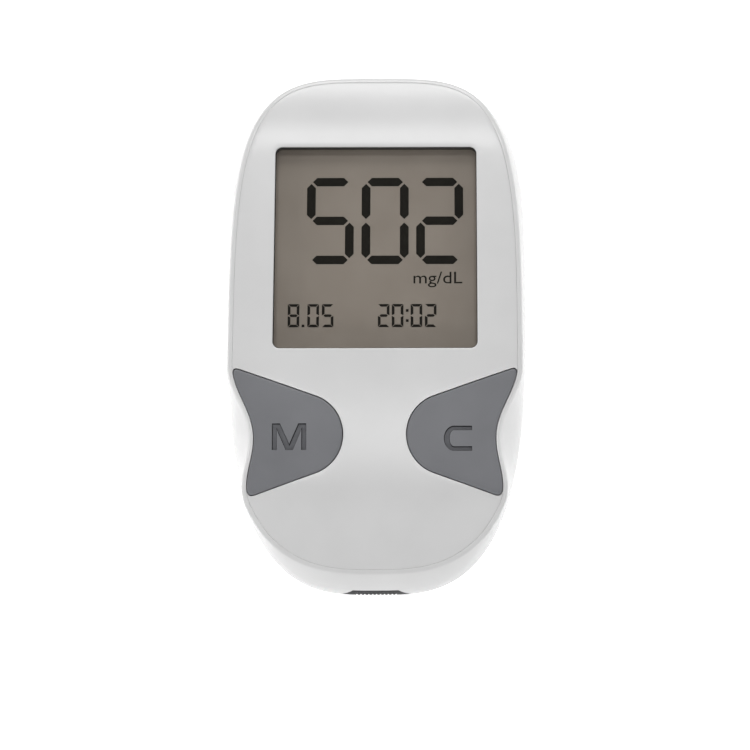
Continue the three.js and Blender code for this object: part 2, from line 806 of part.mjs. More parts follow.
// Face panel: follows the face inside the rim, with the window, the lens pocket and the key cut-outs
function facePanel() {
  const outline = shapeOf(rimRing(-seamGap));
  let panel = solid(prism(outline, seamHeight, aboveAll)).intersect(faceLayer(0, panelThickness));
  const opening = roundedRectangle(0, windowY, windowWidth, windowHeight, windowCorner);
  panel = panel.subtract(solid(prism(opening, seamHeight, aboveAll)));
  const bevelTop = roundedRectangle(
    0, windowY, windowWidth + 2 * windowBevel, windowHeight + 2 * windowBevel, windowCorner + windowBevel,
  );
  const steps = roundCount / 3;
  panel = panel.subtract(draftedPrism(
    opening.getPoints(steps).slice(0, -1), bevelTop.getPoints(steps).slice(0, -1),
    caseHeight - windowBevel, caseHeight + weldDistance,
  ));
  const pocket = roundedRectangle(
    0, windowY, windowWidth + 2 * (lensMargin + glueGap), windowHeight + 2 * (lensMargin + glueGap),
    lensCorner,
  );
  panel = panel.subtract(solid(prism(pocket, seamHeight, caseHeight - lensRecess)));
  for (const { side } of keySides) {
    panel = panel.subtract(solid(prism(shapeOf(keyOutline(side, 0, -overrun)), seamHeight, aboveAll)));
  }
  return panel;
}

// Key: drafted body that follows the face, a flange under the panel and a plunger
function key(side) {
  const low = keyOutline(side, -seamGap, seamGap);
  const high = keyOutline(side, -seamGap - keyDraft, seamGap + keyDraft);
  const column = draftedPrism(low, high, seamHeight, caseHeight + keyProud);
  const cap = column.intersect(faceLayer(-keyProud, keyBottomDepth));
  const flangeOutline = shapeOf(keyOutline(side, keyFlangeWidth, 2 * seamGap));
  const flange = solid(prism(flangeOutline, seamHeight, aboveAll))
    .intersect(faceLayer(faceFloorDepth, keyBottomDepth));
  const top = faceHeight(plungerX, keyY) - faceFloorDepth;
  const plunger = pin(side * plungerX, keyY, plungerRadius, domeTop + glueGap, top);
  return cap.add(flange).add(plunger);
}

// Silicone dome: a foot, a cone and a flat top, hollow and open underneath
function keyDome(side) {
  const profile = [
    [domeFootRadius - domeWall, 0], [domeBaseRadius, 0], [domeBaseRadius, domeBaseThickness],
    [domeFootRadius, domeBaseThickness], [domeTopRadius, domeHeight - domeWall],
    [domeTopRadius, domeHeight], [0, domeHeight], [0, domeHeight - domeWall],
    [domeTopRadius - domeWall, domeHeight - domeWall], [domeFootRadius - domeWall, domeBaseThickness],
    [domeFootRadius - domeWall, 0],
  ].map(([x, y]) => new THREE.Vector2(x, y));
  const geometry = new THREE.LatheGeometry(profile, smallRoundCount);
  geometry.rotateX(Math.PI / 2);
  geometry.translate(side * plungerX, keyY, boardTop);
  return solid(geometry);
}

// Contact pill under the dome's roof, one key travel above the board
function keyPill(side) {
  const top = domeTop - domeWall - glueGap;
  return pin(side * plungerX, keyY, pillRadius, boardTop + keyTravel + glueGap, top);
}

// Clear lens that covers the whole display opening
function displayWindow() {
  const outline = roundedRectangle(
    0, windowY, windowWidth + 2 * lensMargin, windowHeight + 2 * lensMargin, lensCorner,
  );
  return prism(outline, lensTop - lensThickness, lensTop);
}

// Glasses of the display cell: the front one overhangs the rear one by the contact ledge
function cellSheet(ledge, z0) {
  const low = windowY - windowHeight / 2 - glassMargin + ledge + glueGap;
  const high = windowY + windowHeight / 2 + glassMargin - glueGap;
  const half = windowWidth / 2 + glassMargin - glueGap;
  return block(-half, half, low, high, z0, z0 + glassThickness);
}

// Holder under the display cell, open below, with a slot for the elastomer strip
function lcdHolder() {
  const outer = roundedRectangle(0, lcdFrameY, lcdFrame.width, lcdFrameHeight, holderCorner);
  let frame = solid(prism(outer, boardTop, glassTop));
  const halfX = lcdFrame.width / 2 - holderWall;
  const low = lcdFrame.low + holderWall;
  const high = lcdFrame.high - holderWall;
  frame = frame.subtract(block(-halfX, halfX, low, high, holderPlateTop, glassTop + overrun));
  const lowRoom = low + zebraInset;
  frame = frame.subtract(
    block(-halfX, halfX, lowRoom, high, boardTop - overrun, holderPlateTop - holderPlate),
  );
  const slotHalf = halfX - holderWall;
  const slotHigh = low + zebraThickness + glueGap;
  return frame.subtract(
    block(-slotHalf, slotHalf, low, slotHigh, boardTop - overrun, holderPlateTop + overrun),
  );
}

function zebraStrip() {
  const low = lcdFrame.low + holderWall + glueGap / 2;
  const half = lcdFrame.width / 2 - 2 * holderWall - glueGap;
  return block(-half, half, low, low + zebraThickness, boardTop, rearGlassTop);
}

// Circuit board with chamfered corners and a tongue that reaches the strip socket
function mainBoard() {
  const outline = shapeOf([
    { x: boardHalfWidth - boardCorner, y: boardLowerY },
    { x: boardHalfWidth, y: boardLowerY + boardCorner },
    { x: boardHalfWidth, y: boardUpperY - boardCorner },
    { x: boardHalfWidth - boardCorner, y: boardUpperY },
    { x: boardCorner - boardHalfWidth, y: boardUpperY },
    { x: -boardHalfWidth, y: boardUpperY - boardCorner },
    { x: -boardHalfWidth, y: boardLowerY + boardCorner },
    { x: boardCorner - boardHalfWidth, y: boardLowerY },
    { x: -boardTongueHalfWidth, y: boardLowerY },
    { x: -boardTongueHalfWidth, y: boardTongueY },
    { x: boardTongueHalfWidth, y: boardTongueY },
    { x: boardTongueHalfWidth, y: boardLowerY },
  ]);
  let board = solid(prism(outline, boardBottom, boardTop));
  for (const y of boardScrewYs) {
    board = board.subtract(pin(0, y, screwRadius + seamGap, boardBottom - overrun, boardTop + overrun));
  }
  return board;
}

// Screw on its head: domed head below, plain shank above
function screw(x, y, seatZ, length) {
  const profile = [
    [0, -screwHeadHeight], [screwHeadRadius * screwDomeShare, -screwHeadHeight],
    [screwHeadRadius, -screwHeadHeight * screwDomeShare], [screwHeadRadius, 0], [screwRadius, 0],
    [screwRadius, length - screwRadius], [screwRadius / 2, length], [0, length],
  ].map(([radius, z]) => new THREE.Vector2(radius, z));
  const geometry = new THREE.LatheGeometry(profile, smallRoundCount);
  geometry.rotateX(Math.PI / 2);
  geometry.translate(x, y, seatZ);
  return solid(geometry);
}

// Room that the door fills: a plate, tongues above the back's skin and a nose, grown by a gap
function doorRoom(gap) {
  const far = caseWidestY + caseUpperReach + overrun;
  const plate = block(
    -doorHalfWidth - gap, doorHalfWidth + gap, doorLowerY - gap, far,
    gap > 0 ? -overrun : doorRecess, tongueBottom,
  );
  const reach = doorHalfWidth + doorTongueWidth + gap;
  const tongues = block(-reach, reach, doorLowerY - gap, far, tongueBottom - gap, tongueTop + gap);
  const nose = block(
    -doorNoseHalfWidth - gap, doorNoseHalfWidth + gap, doorLowerY - doorNoseLength - gap,
    doorLowerY + overrun, tongueBottom - gap, tongueTop + gap,
  );
  return plate.add(tongues).add(nose);
}

// Sliding door: outer plate, side tongues, a nose at its inner end and a relief under each cell
function batteryDoor() {
  let door = rearBody().intersect(doorRoom(0));
  const room = doorHalfWidth - doorWebWidth;
  door = door.subtract(block(
    -room, room, doorLowerY + doorWebWidth, doorEndWallY, doorInside, tongueTop + overrun,
  ));
  for (const x of [-cellX, cellX]) {
    door = door.subtract(block(
      x - doorReliefHalfWidth, x + doorReliefHalfWidth, doorLowerY - doorNoseLength - overrun,
      doorEndWallY, doorInside, tongueTop + overrun,
    ));
  }
  for (let i = 0; i < gripRibCount; i += 1) {
    const y = gripY + gripRibPitch * i;
    door = door.add(block(
      -gripRibHalfWidth, gripRibHalfWidth, y, y + gripRibWidth,
      doorRecess - gripRibHeight, doorRecess + doorThickness / 2,
    ));
  }
  return door;
}

// Rear cover: shell, battery bay, door channels, screw bosses and the lip inside the front wall
function rearCover() {
  let cover = rearBody();
  const lip = shapeOf(caseRing(caseWall - lipThickness));
  lip.holes.push(new THREE.Path(caseRing(caseWall)));
  cover = cover.subtract(rearHollow());
  cover = cover.add(solid(prism(lip, rearSeam - lipHeight, seamHeight + lipHeight)));
  const bayOuter = bayHalfWidth + bayWall;
  const inSkin = caseWall / 2;
  cover = cover.add(block(
    -bayOuter, bayOuter, bayLowerY - bayWall, bayUpperY + bayWall, inSkin, bayTop + bayCeiling,
  ));
  const sillY = doorLowerY - doorNoseLength - slideGap - bayWall;
  cover = cover.add(block(
    -channelHalfWidth, channelHalfWidth, sillY, bayUpperY + bayWall, inSkin, channelTop + channelRoof,
  ));
  for (const [x, y] of caseScrewPlaces) {
    const radius = screwHeadRadius + seamGap + rearBossWall;
    cover = cover.add(pin(x, y, radius, inSkin, rearSeam).intersect(rearBody()));
  }
  cover = cover.subtract(block(
    -bayHalfWidth, bayHalfWidth, bayLowerY, bayUpperY, -overrun, bayTop,
  ));
  const ribHalf = bayRib / 2;
  const ribSetback = contactPlate + 3 * seamGap;
  cover = cover.add(block(
    -ribHalf, ribHalf, bayLowerY + ribSetback, bayUpperY - ribSetback, cellCentreZ, bayTop + glueGap,
  ));
  cover = cover.subtract(doorRoom(slideGap));
  for (const [x, y] of caseScrewPlaces) {
    cover = cover.subtract(pin(x, y, screwHeadRadius + seamGap, -overrun, caseScrewSeatZ));
    cover = cover.subtract(pin(x, y, screwRadius + seamGap, -overrun, seamHeight + overrun));
  }
  return cover.subtract(portPrism(seamGap, caseEndY - overrun, portBackY + overrun));
}

// Insert of the strip port: flush with the end wall, flanged inside, with the slot and fine ribs
function portBezel() {
  const wall = rearBody().add(frontBody()).add(bandBetweenCovers());
  let bezel = wall.intersect(portPrism(0, caseEndY - overrun, portBackY));
  const flangeFront = portBackY - portFlangeThickness;
  bezel = bezel.add(portPrism(portFlangeWidth, flangeFront, portBackY));
  const slotHalf = slotWidth / 2;
  const slotLow = portCentreZ - slotHeight / 2;
  const slotHigh = portCentreZ + slotHeight / 2;
  bezel = bezel.subtract(block(
    -slotHalf, slotHalf, caseEndY - overrun, portBackY + overrun, slotLow, slotHigh,
  ));
  const mouth = draftedPrism(
    rectanglePoints(slotHalf, slotHeight / 2),
    rectanglePoints(slotHalf + slotFunnel, slotHeight / 2 + slotFunnel),
    0, slotFunnel + glueGap,
  );
  const funnel = mouth.rotate([90, 0, 0]).translate([0, caseEndY + slotFunnel, portCentreZ]);
  bezel = bezel.subtract(funnel);
  const ribTop = portCentreZ + portHeight / 2;
  for (let i = 0; i < portRibCount; i += 1) {
    const x = (i - (portRibCount - 1) / 2) * 2 * portRibWidth - portRibWidth / 2;
    bezel = bezel.subtract(block(
      x, x + portRibWidth, caseEndY - overrun, caseEndY + portRibDepth,
      slotHigh + slotFunnel + portRibWidth, ribTop - portRibWidth,
    ));
  }
  return bezel;
}

const rectanglePoints = (halfX, halfY) => [
  new THREE.Vector2(-halfX, -halfY), new THREE.Vector2(halfX, -halfY),
  new THREE.Vector2(halfX, halfY), new THREE.Vector2(-halfX, halfY),
];

// Fills the seam between the two outer bodies
function bandBetweenCovers() {
  return solid(prism(shapeOf(caseRing(0)), rearSeam - weldDistance, frontSeam + weldDistance));
}

// Socket behind the port, open to the strip and with a channel over each contact
function stripConnector() {
  const front = connectorFrontY;
  const back = connectorBackY;
  const top = boardBottom - seamGap;
  const slotLow = portCentreZ - slotHeight / 2;
  const slotHigh = portCentreZ + slotHeight / 2;
  let body = block(-connectorHalfWidth, connectorHalfWidth, front, back, slotLow - connectorFloor, top);
  const slotHalf = slotWidth / 2;
  body = body.subtract(block(-slotHalf, slotHalf, front - overrun, back - connectorFloor, slotLow, slotHigh));
  for (let i = 0; i < contactCount; i += 1) {
    const x = (i - (contactCount - 1) / 2) * contactPitch;
    const half = connectorChannelWidth / 2;
    body = body.subtract(block(
      x - half, x + half, front + connectorFloor, back + overrun,
      slotHigh - glueGap, slotHigh + connectorChannelHeight,
    ));
  }
  return body;
}

// Sprung contact: a bent strip from its solder leg to the dip that presses on the test strip
function stripContact(index) {
  const front = connectorFrontY;
  const back = connectorBackY;
  const slotHigh = portCentreZ + slotHeight / 2;
  const armZ = slotHigh + connectorChannelHeight / 2;
  const legY = back + 2 * contactThickness;
  const line = [
    new THREE.Vector2(legY, boardBottom - glueGap),
    new THREE.Vector2(legY, armZ),
    new THREE.Vector2(back - connectorLength * contactBendShare, armZ),
    new THREE.Vector2(front + connectorLength * contactDipShare, portCentreZ),
    new THREE.Vector2(front + connectorLength * contactTipShare, slotHigh + contactThickness),
  ];
  const geometry = prism(bentStrip(line, contactThickness), -contactWidth / 2, contactWidth / 2);
  geometry.rotateX(Math.PI / 2);
  geometry.rotateZ(Math.PI / 2);
  geometry.translate((index - (contactCount - 1) / 2) * contactPitch, 0, 0);
  return solid(geometry);
}

// Outline of a bent strip of even thickness along a line of points
function bentStrip(line, thickness) {
  const side = (sign) => line.map((point, i) => {
    const before = line[Math.max(i - 1, 0)];
    const after = line[Math.min(i + 1, line.length - 1)];
    const into = point.clone().sub(before).normalize();
    const out = after.clone().sub(point).normalize();
    if (i === 0) into.copy(out);
    if (i === line.length - 1) out.copy(into);
    const mitre = new THREE.Vector2(-into.y - out.y, into.x + out.x).normalize();
    const spread = 1 / Math.max(mitre.dot(new THREE.Vector2(-into.y, into.x)), mitreLimitShare);
    return point.clone().addScaledVector(mitre, sign * spread * thickness / 2);
  });
  return new THREE.Shape([...side(-1), ...side(1).reverse()]);
}

// AAA cell along Y with its nub towards the given end
function batteryCell(x, nubSign, y) {
  const profile = [
    [0, 0], [cellRadius - cellEdge, 0], [cellRadius, cellEdge], [cellRadius, cellLength - cellEdge],
    [cellRadius - cellEdge, cellLength], [cellNubRadius, cellLength],
    [cellNubRadius, cellLength + cellNubLength], [0, cellLength + cellNubLength],
  ].map(([radius, length]) => new THREE.Vector2(radius, length));
  const geometry = new THREE.LatheGeometry(profile, cellSideCount);
  if (nubSign < 0) geometry.rotateX(Math.PI);
  geometry.translate(x, y, cellCentreZ);
  return solid(geometry);
}

// Conical coil spring along Y, from its base ring to its top ring
function contactCoil(x, y, sign) {
  class Cone extends THREE.Curve {
    getPoint(t, target = new THREE.Vector3()) {
      const radius = THREE.MathUtils.lerp(coilBaseRadius, coilTopRadius, t);
      const angle = t * coilTurnCount * 2 * Math.PI;
      return target.set(
        x + radius * Math.cos(angle),
        y + sign * t * (coilLength - coilWire / 2),
        cellCentreZ + radius * Math.sin(angle),
      );
    }
  }
  const section = new THREE.Shape();
  section.absarc(0, 0, coilWire, 0, 2 * Math.PI);
  const geometry = new THREE.ExtrudeGeometry(section, {
    steps: coilTurnCount * smallRoundCount, curveSegments: 3, extrudePath: new Cone(), bevelEnabled: false,
  });
  return solid(geometry);
}

// Contact plates at the ends of the bay
const plateLowZ = cellCentreZ - contactPlateHeight / 2;
const plateHighZ = cellCentreZ + contactPlateHeight / 2;
const lowPlateY = bayLowerY + seamGap;
const highPlateY = bayUpperY - seamGap;

function contactNub(x, y, sign) {
  const geometry = new THREE.CylinderGeometry(
    cellNubRadius, cellNubRadius * nubSpreadShare, contactBump, smallRoundCount,
  );
  if (sign < 0) geometry.rotateX(Math.PI);
  geometry.translate(x, y + sign * (contactBump / 2 - weldDistance), cellCentreZ);
  return solid(geometry);
}

function bridgeContact() {
  const half = cellX + contactPlateHalfWidth;
  const face = lowPlateY + contactPlate;
  return block(-half, half, lowPlateY, face, plateLowZ, plateHighZ)
    .add(contactCoil(-cellX, face - coilWire / 2, 1))
    .add(contactNub(cellX, face, 1));
}

function negativeContact() {
  const face = highPlateY - contactPlate;
  return block(
    cellX - contactPlateHalfWidth, cellX + contactPlateHalfWidth, face, highPlateY, plateLowZ, plateHighZ,
  ).add(contactCoil(cellX, face + coilWire / 2, -1));
}

function positiveContact() {
  const face = highPlateY - contactPlate;
  return block(
    -cellX - contactPlateHalfWidth, contactPlateHalfWidth - cellX, face, highPlateY, plateLowZ, plateHighZ,
  ).add(contactNub(-cellX, face, -1));
}

// The assembly
addPiece('front_cover', frontCover(), whitePlastic);
addPiece('face_panel', facePanel(), whitePlastic);
addPiece('rear_cover', rearCover(), whitePlastic);
addPiece('battery_door', batteryDoor(), whitePlastic);
addPiece('port_bezel', portBezel(), darkPlastic);
addPiece('display_window', displayWindow(), clearPlastic);
addPiece('lcd_front_glass', cellSheet(0, rearGlassTop), cellGlass);
addPiece('lcd_rear_glass', cellSheet(glassLedge, holderPlateTop), cellGlass);
addPiece('lcd_frame', lcdHolder(), holderPlastic);
addPiece('zebra_strip', zebraStrip(), elastomer);
addPiece('main_board', mainBoard(), boardLaminate);

for (const { side, name } of keySides) {
  addPiece(name, key(side), greyKeyPlastic);
  addPiece(`${name}_dome`, keyDome(side), silicone);
  addPiece(`${name}_pill`, keyPill(side), carbon);
}

const chipHalf = chipSide / 2;
addPiece('microcontroller', block(
  chipX - chipHalf, chipX + chipHalf, chipY - chipHalf, chipY + chipHalf,
  boardBottom - chipThickness, boardBottom,
), chipResin);
addPiece('buzzer', pin(
  buzzerX, chipY, buzzerRadius, boardBottom - buzzerThickness, boardBottom, roundCount,
)
  .subtract(pin(
    buzzerX, chipY, buzzerPort, boardBottom - buzzerThickness - overrun, boardBottom - buzzerThickness / 2,
  )), chipResin);
const crystalBody = new THREE.CylinderGeometry(
  crystalRadius, crystalRadius, crystalLength, smallRoundCount,
);
crystalBody.rotateZ(Math.PI / 2);
crystalBody.translate(crystalX, crystalY, boardBottom - crystalRadius - glueGap);
addPiece('crystal_can', solid(crystalBody), canMetal);

addPiece('strip_connector', stripConnector(), connectorPlastic);
for (let i = 0; i < contactCount; i += 1) {
  addPiece(`strip_contact_${i + 1}`, stripContact(i), goldPlate);
}

const cellEnd = highPlateY - contactPlate - contactBump - glueGap;
const cellStart = lowPlateY + contactPlate + contactBump + glueGap;
addPiece('battery_cell_left', batteryCell(-cellX, 1, cellEnd - cellLength - cellNubLength), cellSleeve);
addPiece('battery_cell_right', batteryCell(cellX, -1, cellStart + cellLength + cellNubLength), cellSleeve);
addPiece('bridge_contact', bridgeContact(), springSteel);
addPiece('negative_contact', negativeContact(), springSteel);
addPiece('positive_contact', positiveContact(), springSteel);

caseScrewPlaces.forEach(([x, y], i) => {
  addPiece(`case_screw_${i + 1}`, screw(x, y, caseScrewSeatZ - glueGap, caseScrewLength), screwSteel);
});
boardScrewYs.forEach((y, i) => {
  const length = boardScrewLength - 2 * seamGap;
  addPiece(`board_screw_${i + 1}`, screw(0, y, boardBottom - glueGap, length), screwSteel);
});

export default root;
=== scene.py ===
"""Hand-held blood glucose meter, lying on its back on a white table.

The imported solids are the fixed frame. The visible pieces are surfaces worked out with numpy.
Lengths in the shape code are millimetres, and build() turns them into metres.
"""
import math
import bmesh
import bpy
import numpy as np
from mathutils import Matrix, Vector
from mathutils.geometry import delaunay_2d_cdt


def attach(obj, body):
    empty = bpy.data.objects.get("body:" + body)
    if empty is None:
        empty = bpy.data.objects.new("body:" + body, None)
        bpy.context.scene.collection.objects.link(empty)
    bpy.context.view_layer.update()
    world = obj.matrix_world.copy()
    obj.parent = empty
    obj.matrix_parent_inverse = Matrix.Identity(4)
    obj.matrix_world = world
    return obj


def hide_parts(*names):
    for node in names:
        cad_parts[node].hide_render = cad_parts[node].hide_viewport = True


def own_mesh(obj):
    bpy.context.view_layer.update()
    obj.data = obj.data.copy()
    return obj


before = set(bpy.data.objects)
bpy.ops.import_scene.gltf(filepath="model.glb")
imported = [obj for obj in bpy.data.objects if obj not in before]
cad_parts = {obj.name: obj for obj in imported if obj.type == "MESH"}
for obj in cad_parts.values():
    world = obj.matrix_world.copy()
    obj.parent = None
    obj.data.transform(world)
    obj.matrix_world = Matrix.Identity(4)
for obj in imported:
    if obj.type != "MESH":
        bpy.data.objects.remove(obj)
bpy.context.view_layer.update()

# Sizes, the same as the solids have
CASE = {"half": 27.1, "widest": 8.924475, "up": 37.800525, "down": 55.649475,
        "n_up": 3.65, "n_down": 3.03}
RIM = {"half": 25.15, "widest": -7.952595, "up": 53.197595, "down": 34.902405,
       "n_up": 3.95, "n_down": 2.82}
CASE_END, CASE_TOP = -46.725, 46.725
REAR_SEAM, FRONT_SEAM = 9.85, 10.15
WALL, GAP, BACK_ROUND = 1.8, 0.3, 6.5
RIM_WIDTH, RIM_DROP = 0.75, 0.3
SCOOP_Y, SCOOP_DEEP = -19.25, 3.45
# Face: its level, where it bends, and where it starts to roll off to the end and the sides
FACE_Z, BEND_FROM, BEND_TO, ROLL_FROM, SIDE_FROM = 22, -9, -31, 31.025, 15.15
# Under the face: the panel's thickness, the ledge that carries it, the underside of that ledge
PANEL, LEDGE, LEDGE_UNDER = 1.6, 1.9, 3.3
# Fine joints of the face: the rim laps inwards, panel and keys come close to it and each other
RIM_LAP, PANEL_HELD, KEY_HELD, EDGE = 0.12, 0.15, 0.3, 0.035
WINDOW = {"y": 14.0375, "width": 36.0, "height": 36.775, "corner": 1.25}
LENS_SEAT, GLASS_Z, FILM = 20.9, 19.6, 0.02
KEY_Y, KEY_NOSE_X, KEY_RADIUS, KEY_FLARE, KEY_EASE = -19.5, 12.6, 7.3, math.radians(19.5), 1.4
PLUNGER_X, BOARD_TOP, DOME_HEIGHT, KEY_TRAVEL = KEY_NOSE_X + 1.9, 14.7, 3.1, 0.8
CELL_X, CELL_Z, CELL_RADIUS = 5.85, 7.25, 5.25
BAY_LOW, BAY_HIGH, SPRING_ROOM, PLATE_ROOM, PLATE_THICK = -11.405, 39.895, 5.5, 0.7, 0.4
DOOR_LOW, DOOR_INNER, DOOR_HALF, TONGUE_HALF = -14.905, 41.495, 12.8, 14.1
CASE_SCREWS = [(-17.4, 37.025), (17.4, 37.025), (-14.5, -36.025), (14.5, -36.025)]
PORT_Z, PORT_HALF, PORT_BROAD, PORT_NARROW = 9.8, 3.45, 5.85, 3.95
PORT_FRONT, PORT_BACK, PORT_GAP, PORT_REACH = -46.63, -43.025, 0.06, -40.0
SLOT_WIDTH, SLOT_HEIGHT = 7, 1.5
STATIONS = 560


# Materials
def tone(code):
    """An sRGB hex value as linear red, green, blue and alpha."""
    share = np.array([int(code[i:i + 2], 16) for i in (1, 3, 5)]) / 255
    linear = np.where(share <= 0.04045, share / 12.92, ((share + 0.055) / 1.055) ** 2.4)
    return (*linear.tolist(), 1.0)


def add(material, kind, inputs=None, stops=(), **settings):
    """Adds a shader node. settings are its own properties, stops a colour ramp's places and hex
    values, inputs its sockets' values or the nodes and sockets that feed them."""
    node = material.node_tree.nodes.new("ShaderNode" + kind)
    for name, value in settings.items():
        setattr(node, name, value)
    for number, (spot, code) in enumerate(stops):
        element = node.color_ramp.elements[number]
        element.position, element.color = spot, tone(code)
    for key, value in (inputs or {}).items():
        value = value.outputs[0] if isinstance(value, bpy.types.Node) else value
        if isinstance(value, bpy.types.NodeSocket):
            material.node_tree.links.new(value, node.inputs[key])
        else:
            node.inputs[key].default_value = value
    return node


def new_material(name):
    """An empty node material."""
    material = bpy.data.materials.new(name)
    material.use_nodes = True
    material.node_tree.nodes.clear()
    return material


def noise(material, size, detail, stretch=(1, 1, 1)):
    """Noise whose cells are size millimetres across, on Object coordinates, stretched by axes."""
    spot = add(material, "TexCoord").outputs["Object"]
    spot = add(material, "Mapping", {"Vector": spot, "Scale": stretch})
    settings = {"Vector": spot, "Scale": 1000 / size, "Detail": detail, "Roughness": 0.5}
    return add(material, "TexNoise", settings)


def ray_is(material, *kinds):
    """1 for a ray of any of these kinds, else 0: the highest of the Light Path values."""
    path = add(material, "LightPath").outputs
    found = path[f"Is {kinds[0]} Ray"]
    for kind in kinds[1:]:
        found = add(material, "Math", {0: found, 1: path[f"Is {kind} Ray"]},
                    operation="MAXIMUM")
    return found


def finish(material, colour, relief, depth, speck, rough, strength=1.0, **values):
    """Surface of a colour with a relief some mm deep. A noise from 0.3 to 0.7 takes its roughness
    from low to high."""
    surface = add(material, "BsdfPrincipled", {
        "Base Color": colour,
        "Roughness": add(material, "MapRange", {
            "Value": speck, "From Min": 0.3, "From Max": 0.7, "To Min": rough[0],
            "To Max": rough[1],
        }),
        "Normal": add(material, "Bump", {
            "Height": relief, "Strength": strength, "Distance": depth / 1000,
        }),
        **values,
    })
    add(material, "OutputMaterial", {"Surface": surface})
    return material


def opaque(name, pale, deep, rough, grain, depth, cloud=9.0, details=(2, 3), stretch=(1, 1, 1),
           **values):
    """Two close tones drift in clouds, and a grain makes the relief and the roughness. Grain,
    clouds and the relief's depth are in millimetres."""
    material = new_material(name)
    tones = add(material, "ValToRGB", {"Fac": noise(material, cloud, details[1])},
                stops=[(0.3, deep), (0.7, pale)])
    speck = noise(material, grain, details[0], stretch)
    return finish(material, tones, speck, depth, speck, rough, **values)


def metal(name, pale, deep, rough, stretch, line, depth):
    """Drawn or plated metal: fine lines of a width in mm, stretched along one axis."""
    return opaque(name, pale, deep, rough, line, depth, 3.0, (3, 2), stretch, Metallic=1.0)


DULL = {"Specular IOR Level": 0.25}
FILM_COAT = {"Coat Weight": 0.5, "Coat Roughness": 0.12}
# White ABS from a spark-eroded mould: an even satin that blurs the lamps. The real grain of
# 0.03 mm is too fine to show, so it is drawn at 0.22 mm.
white_abs = opaque("white_abs_satin_moulded", "#e0e0e0", "#dcdcdc", (0.19, 0.25), 0.22, 0.0012,
                   IOR=1.53)
# Grey ABS keys, moulded matt: a flatter, cooler surface that hides finger marks.
key_abs = opaque("grey_abs_matt_moulded", "#7b7c80", "#75767a", (0.44, 0.56), 0.2, 0.004, IOR=1.53)
# Ink wiped into the engraved letters: dull and a little uneven where it pooled.
letter_ink = opaque("engraving_ink_wiped", "#6c6d71", "#626367", (0.6, 0.75), 0.15, 0.006, 1.2)
# Painted shade: the same ink made near black on the letters' sloping walls, as the engraving's
# shadow.
letter_wall_painted_shade = opaque("engraving_wall_painted_shade", "#1d1e20", "#17181a", (0.6, 0.75), 0.15, 0.006,
                         1.2)
# Dark grey ABS of the port insert: the fine ribs catch thin lines of light.
port_abs = opaque("dark_abs_matt_moulded", "#222325", "#1d1e20", (0.5, 0.65), 0.2, 0.004,
                  IOR=1.53, **DULL)
# Light grey glass-filled nylon of the display holder: faint flow lines, waxy.
holder_nylon = opaque("display_holder_nylon", "#efefec", "#e6e6e2", (0.42, 0.55), 0.35, 0.006, 4.0)
# Layered zebra elastomer: fine carbon stripes in silicone, which run down its face.
zebra_rubber = opaque("zebra_elastomer_sliced", "#a9a9a6", "#5d5d5b", (0.6, 0.75), 0.25, 0.01, 0.35)
# Silicone domes: milky and soft, with a dusty matt skin.
dome_silicone = opaque("key_dome_silicone", "#d3d6d8", "#c6c9cc", (0.5, 0.65), 0.4, 0.008, 2.5)
# Carbon pill: a printed black disc, dull, with coarse grains.
carbon_pill = opaque("carbon_contact_pill", "#1a1a1a", "#101010", (0.7, 0.85), 0.18, 0.012, 0.8)
# Transfer-moulded epoxy of chip and buzzer: near black with a fine sandy skin.
chip_epoxy = opaque("chip_epoxy_moulded", "#212224", "#18191a", (0.5, 0.65), 0.16, 0.008, 2.0)
# Liquid-crystal polymer of the strip socket: cream, with flow streaks.
socket_lcp = opaque("strip_socket_polymer", "#ebe5d4", "#ddd6c2", (0.42, 0.55), 0.3, 0.008, 2.0)
# Liquid-crystal cell: grey-brown polarizer film on glass, over a faint cloudy reflector.
cell_polarizer = opaque("display_polarizer_film", "#a69a8f", "#9f9388", (0.42, 0.5), 0.2, 0.0015,
                        7.0, (2, 4), IOR=1.5, **{"Specular IOR Level": 0.2})
# Dark bars of the display: dyed liquid crystal seen as a flat brown-black film.
segment_ink = opaque("display_segment_film", "#26231e", "#211e1a", (0.5, 0.6), 0.3, 0.0005, 3.0,
                     **{"Specular IOR Level": 0.1})
# Painted shade: black foam lining the window's wall, dull, with tiny cells, dark as the wall's
# shade.
painted_shade_foam = opaque("window_wall_painted_shade_foam", "#1d1d1e", "#161617", (0.75, 0.9), 0.15, 0.01, 0.8)
# Painted shade: brown film under the foam, the display's tone darkened as in the window edge's
# shade.
painted_shade_film = opaque("window_edge_painted_shade_film", "#4d4944", "#46423d", (0.6, 0.75), 0.2, 0.004, 1.5)
# Grey-blue body of the cells and its dark band: shrunk film, glossy with slight waves.
cell_film = opaque("cell_sleeve_shrunk_film", "#40638c", "#365779", (0.2, 0.3), 2.5, 0.02, 5.0,
                   **FILM_COAT)
cell_band = opaque("cell_sleeve_dark_band", "#2b2d31", "#232529", (0.2, 0.3), 2.5, 0.02, 5.0,
                   **FILM_COAT)
# Nickel-plated spring steel: bright, with drawing lines along the wire and strip.
spring_nickel = metal("spring_steel_nickel_plated", "#c9c8c4", "#b5b4b0", (0.18, 0.32), (1, 6, 1),
                      0.3, 0.002)
# Zinc-plated screws: bluish, a touch duller than nickel.
screw_zinc = metal("screw_steel_zinc_plated", "#b6bac0", "#9da1a8", (0.25, 0.42), (1, 1, 5),
                   0.25, 0.003)
# Nickel-plated cell ends and the drawn can of the clock crystal: clean and bright.
can_nickel = metal("drawn_can_nickel", "#cdccca", "#b7b6b4", (0.16, 0.3), (5, 1, 1), 0.3, 0.002)
# Hard gold over nickel on the strip contacts: warm, with fine drawing lines.
contact_gold = metal("contact_gold_plated", "#e6c27a", "#d6ad62", (0.15, 0.28), (1, 6, 1),
                     0.25, 0.002)


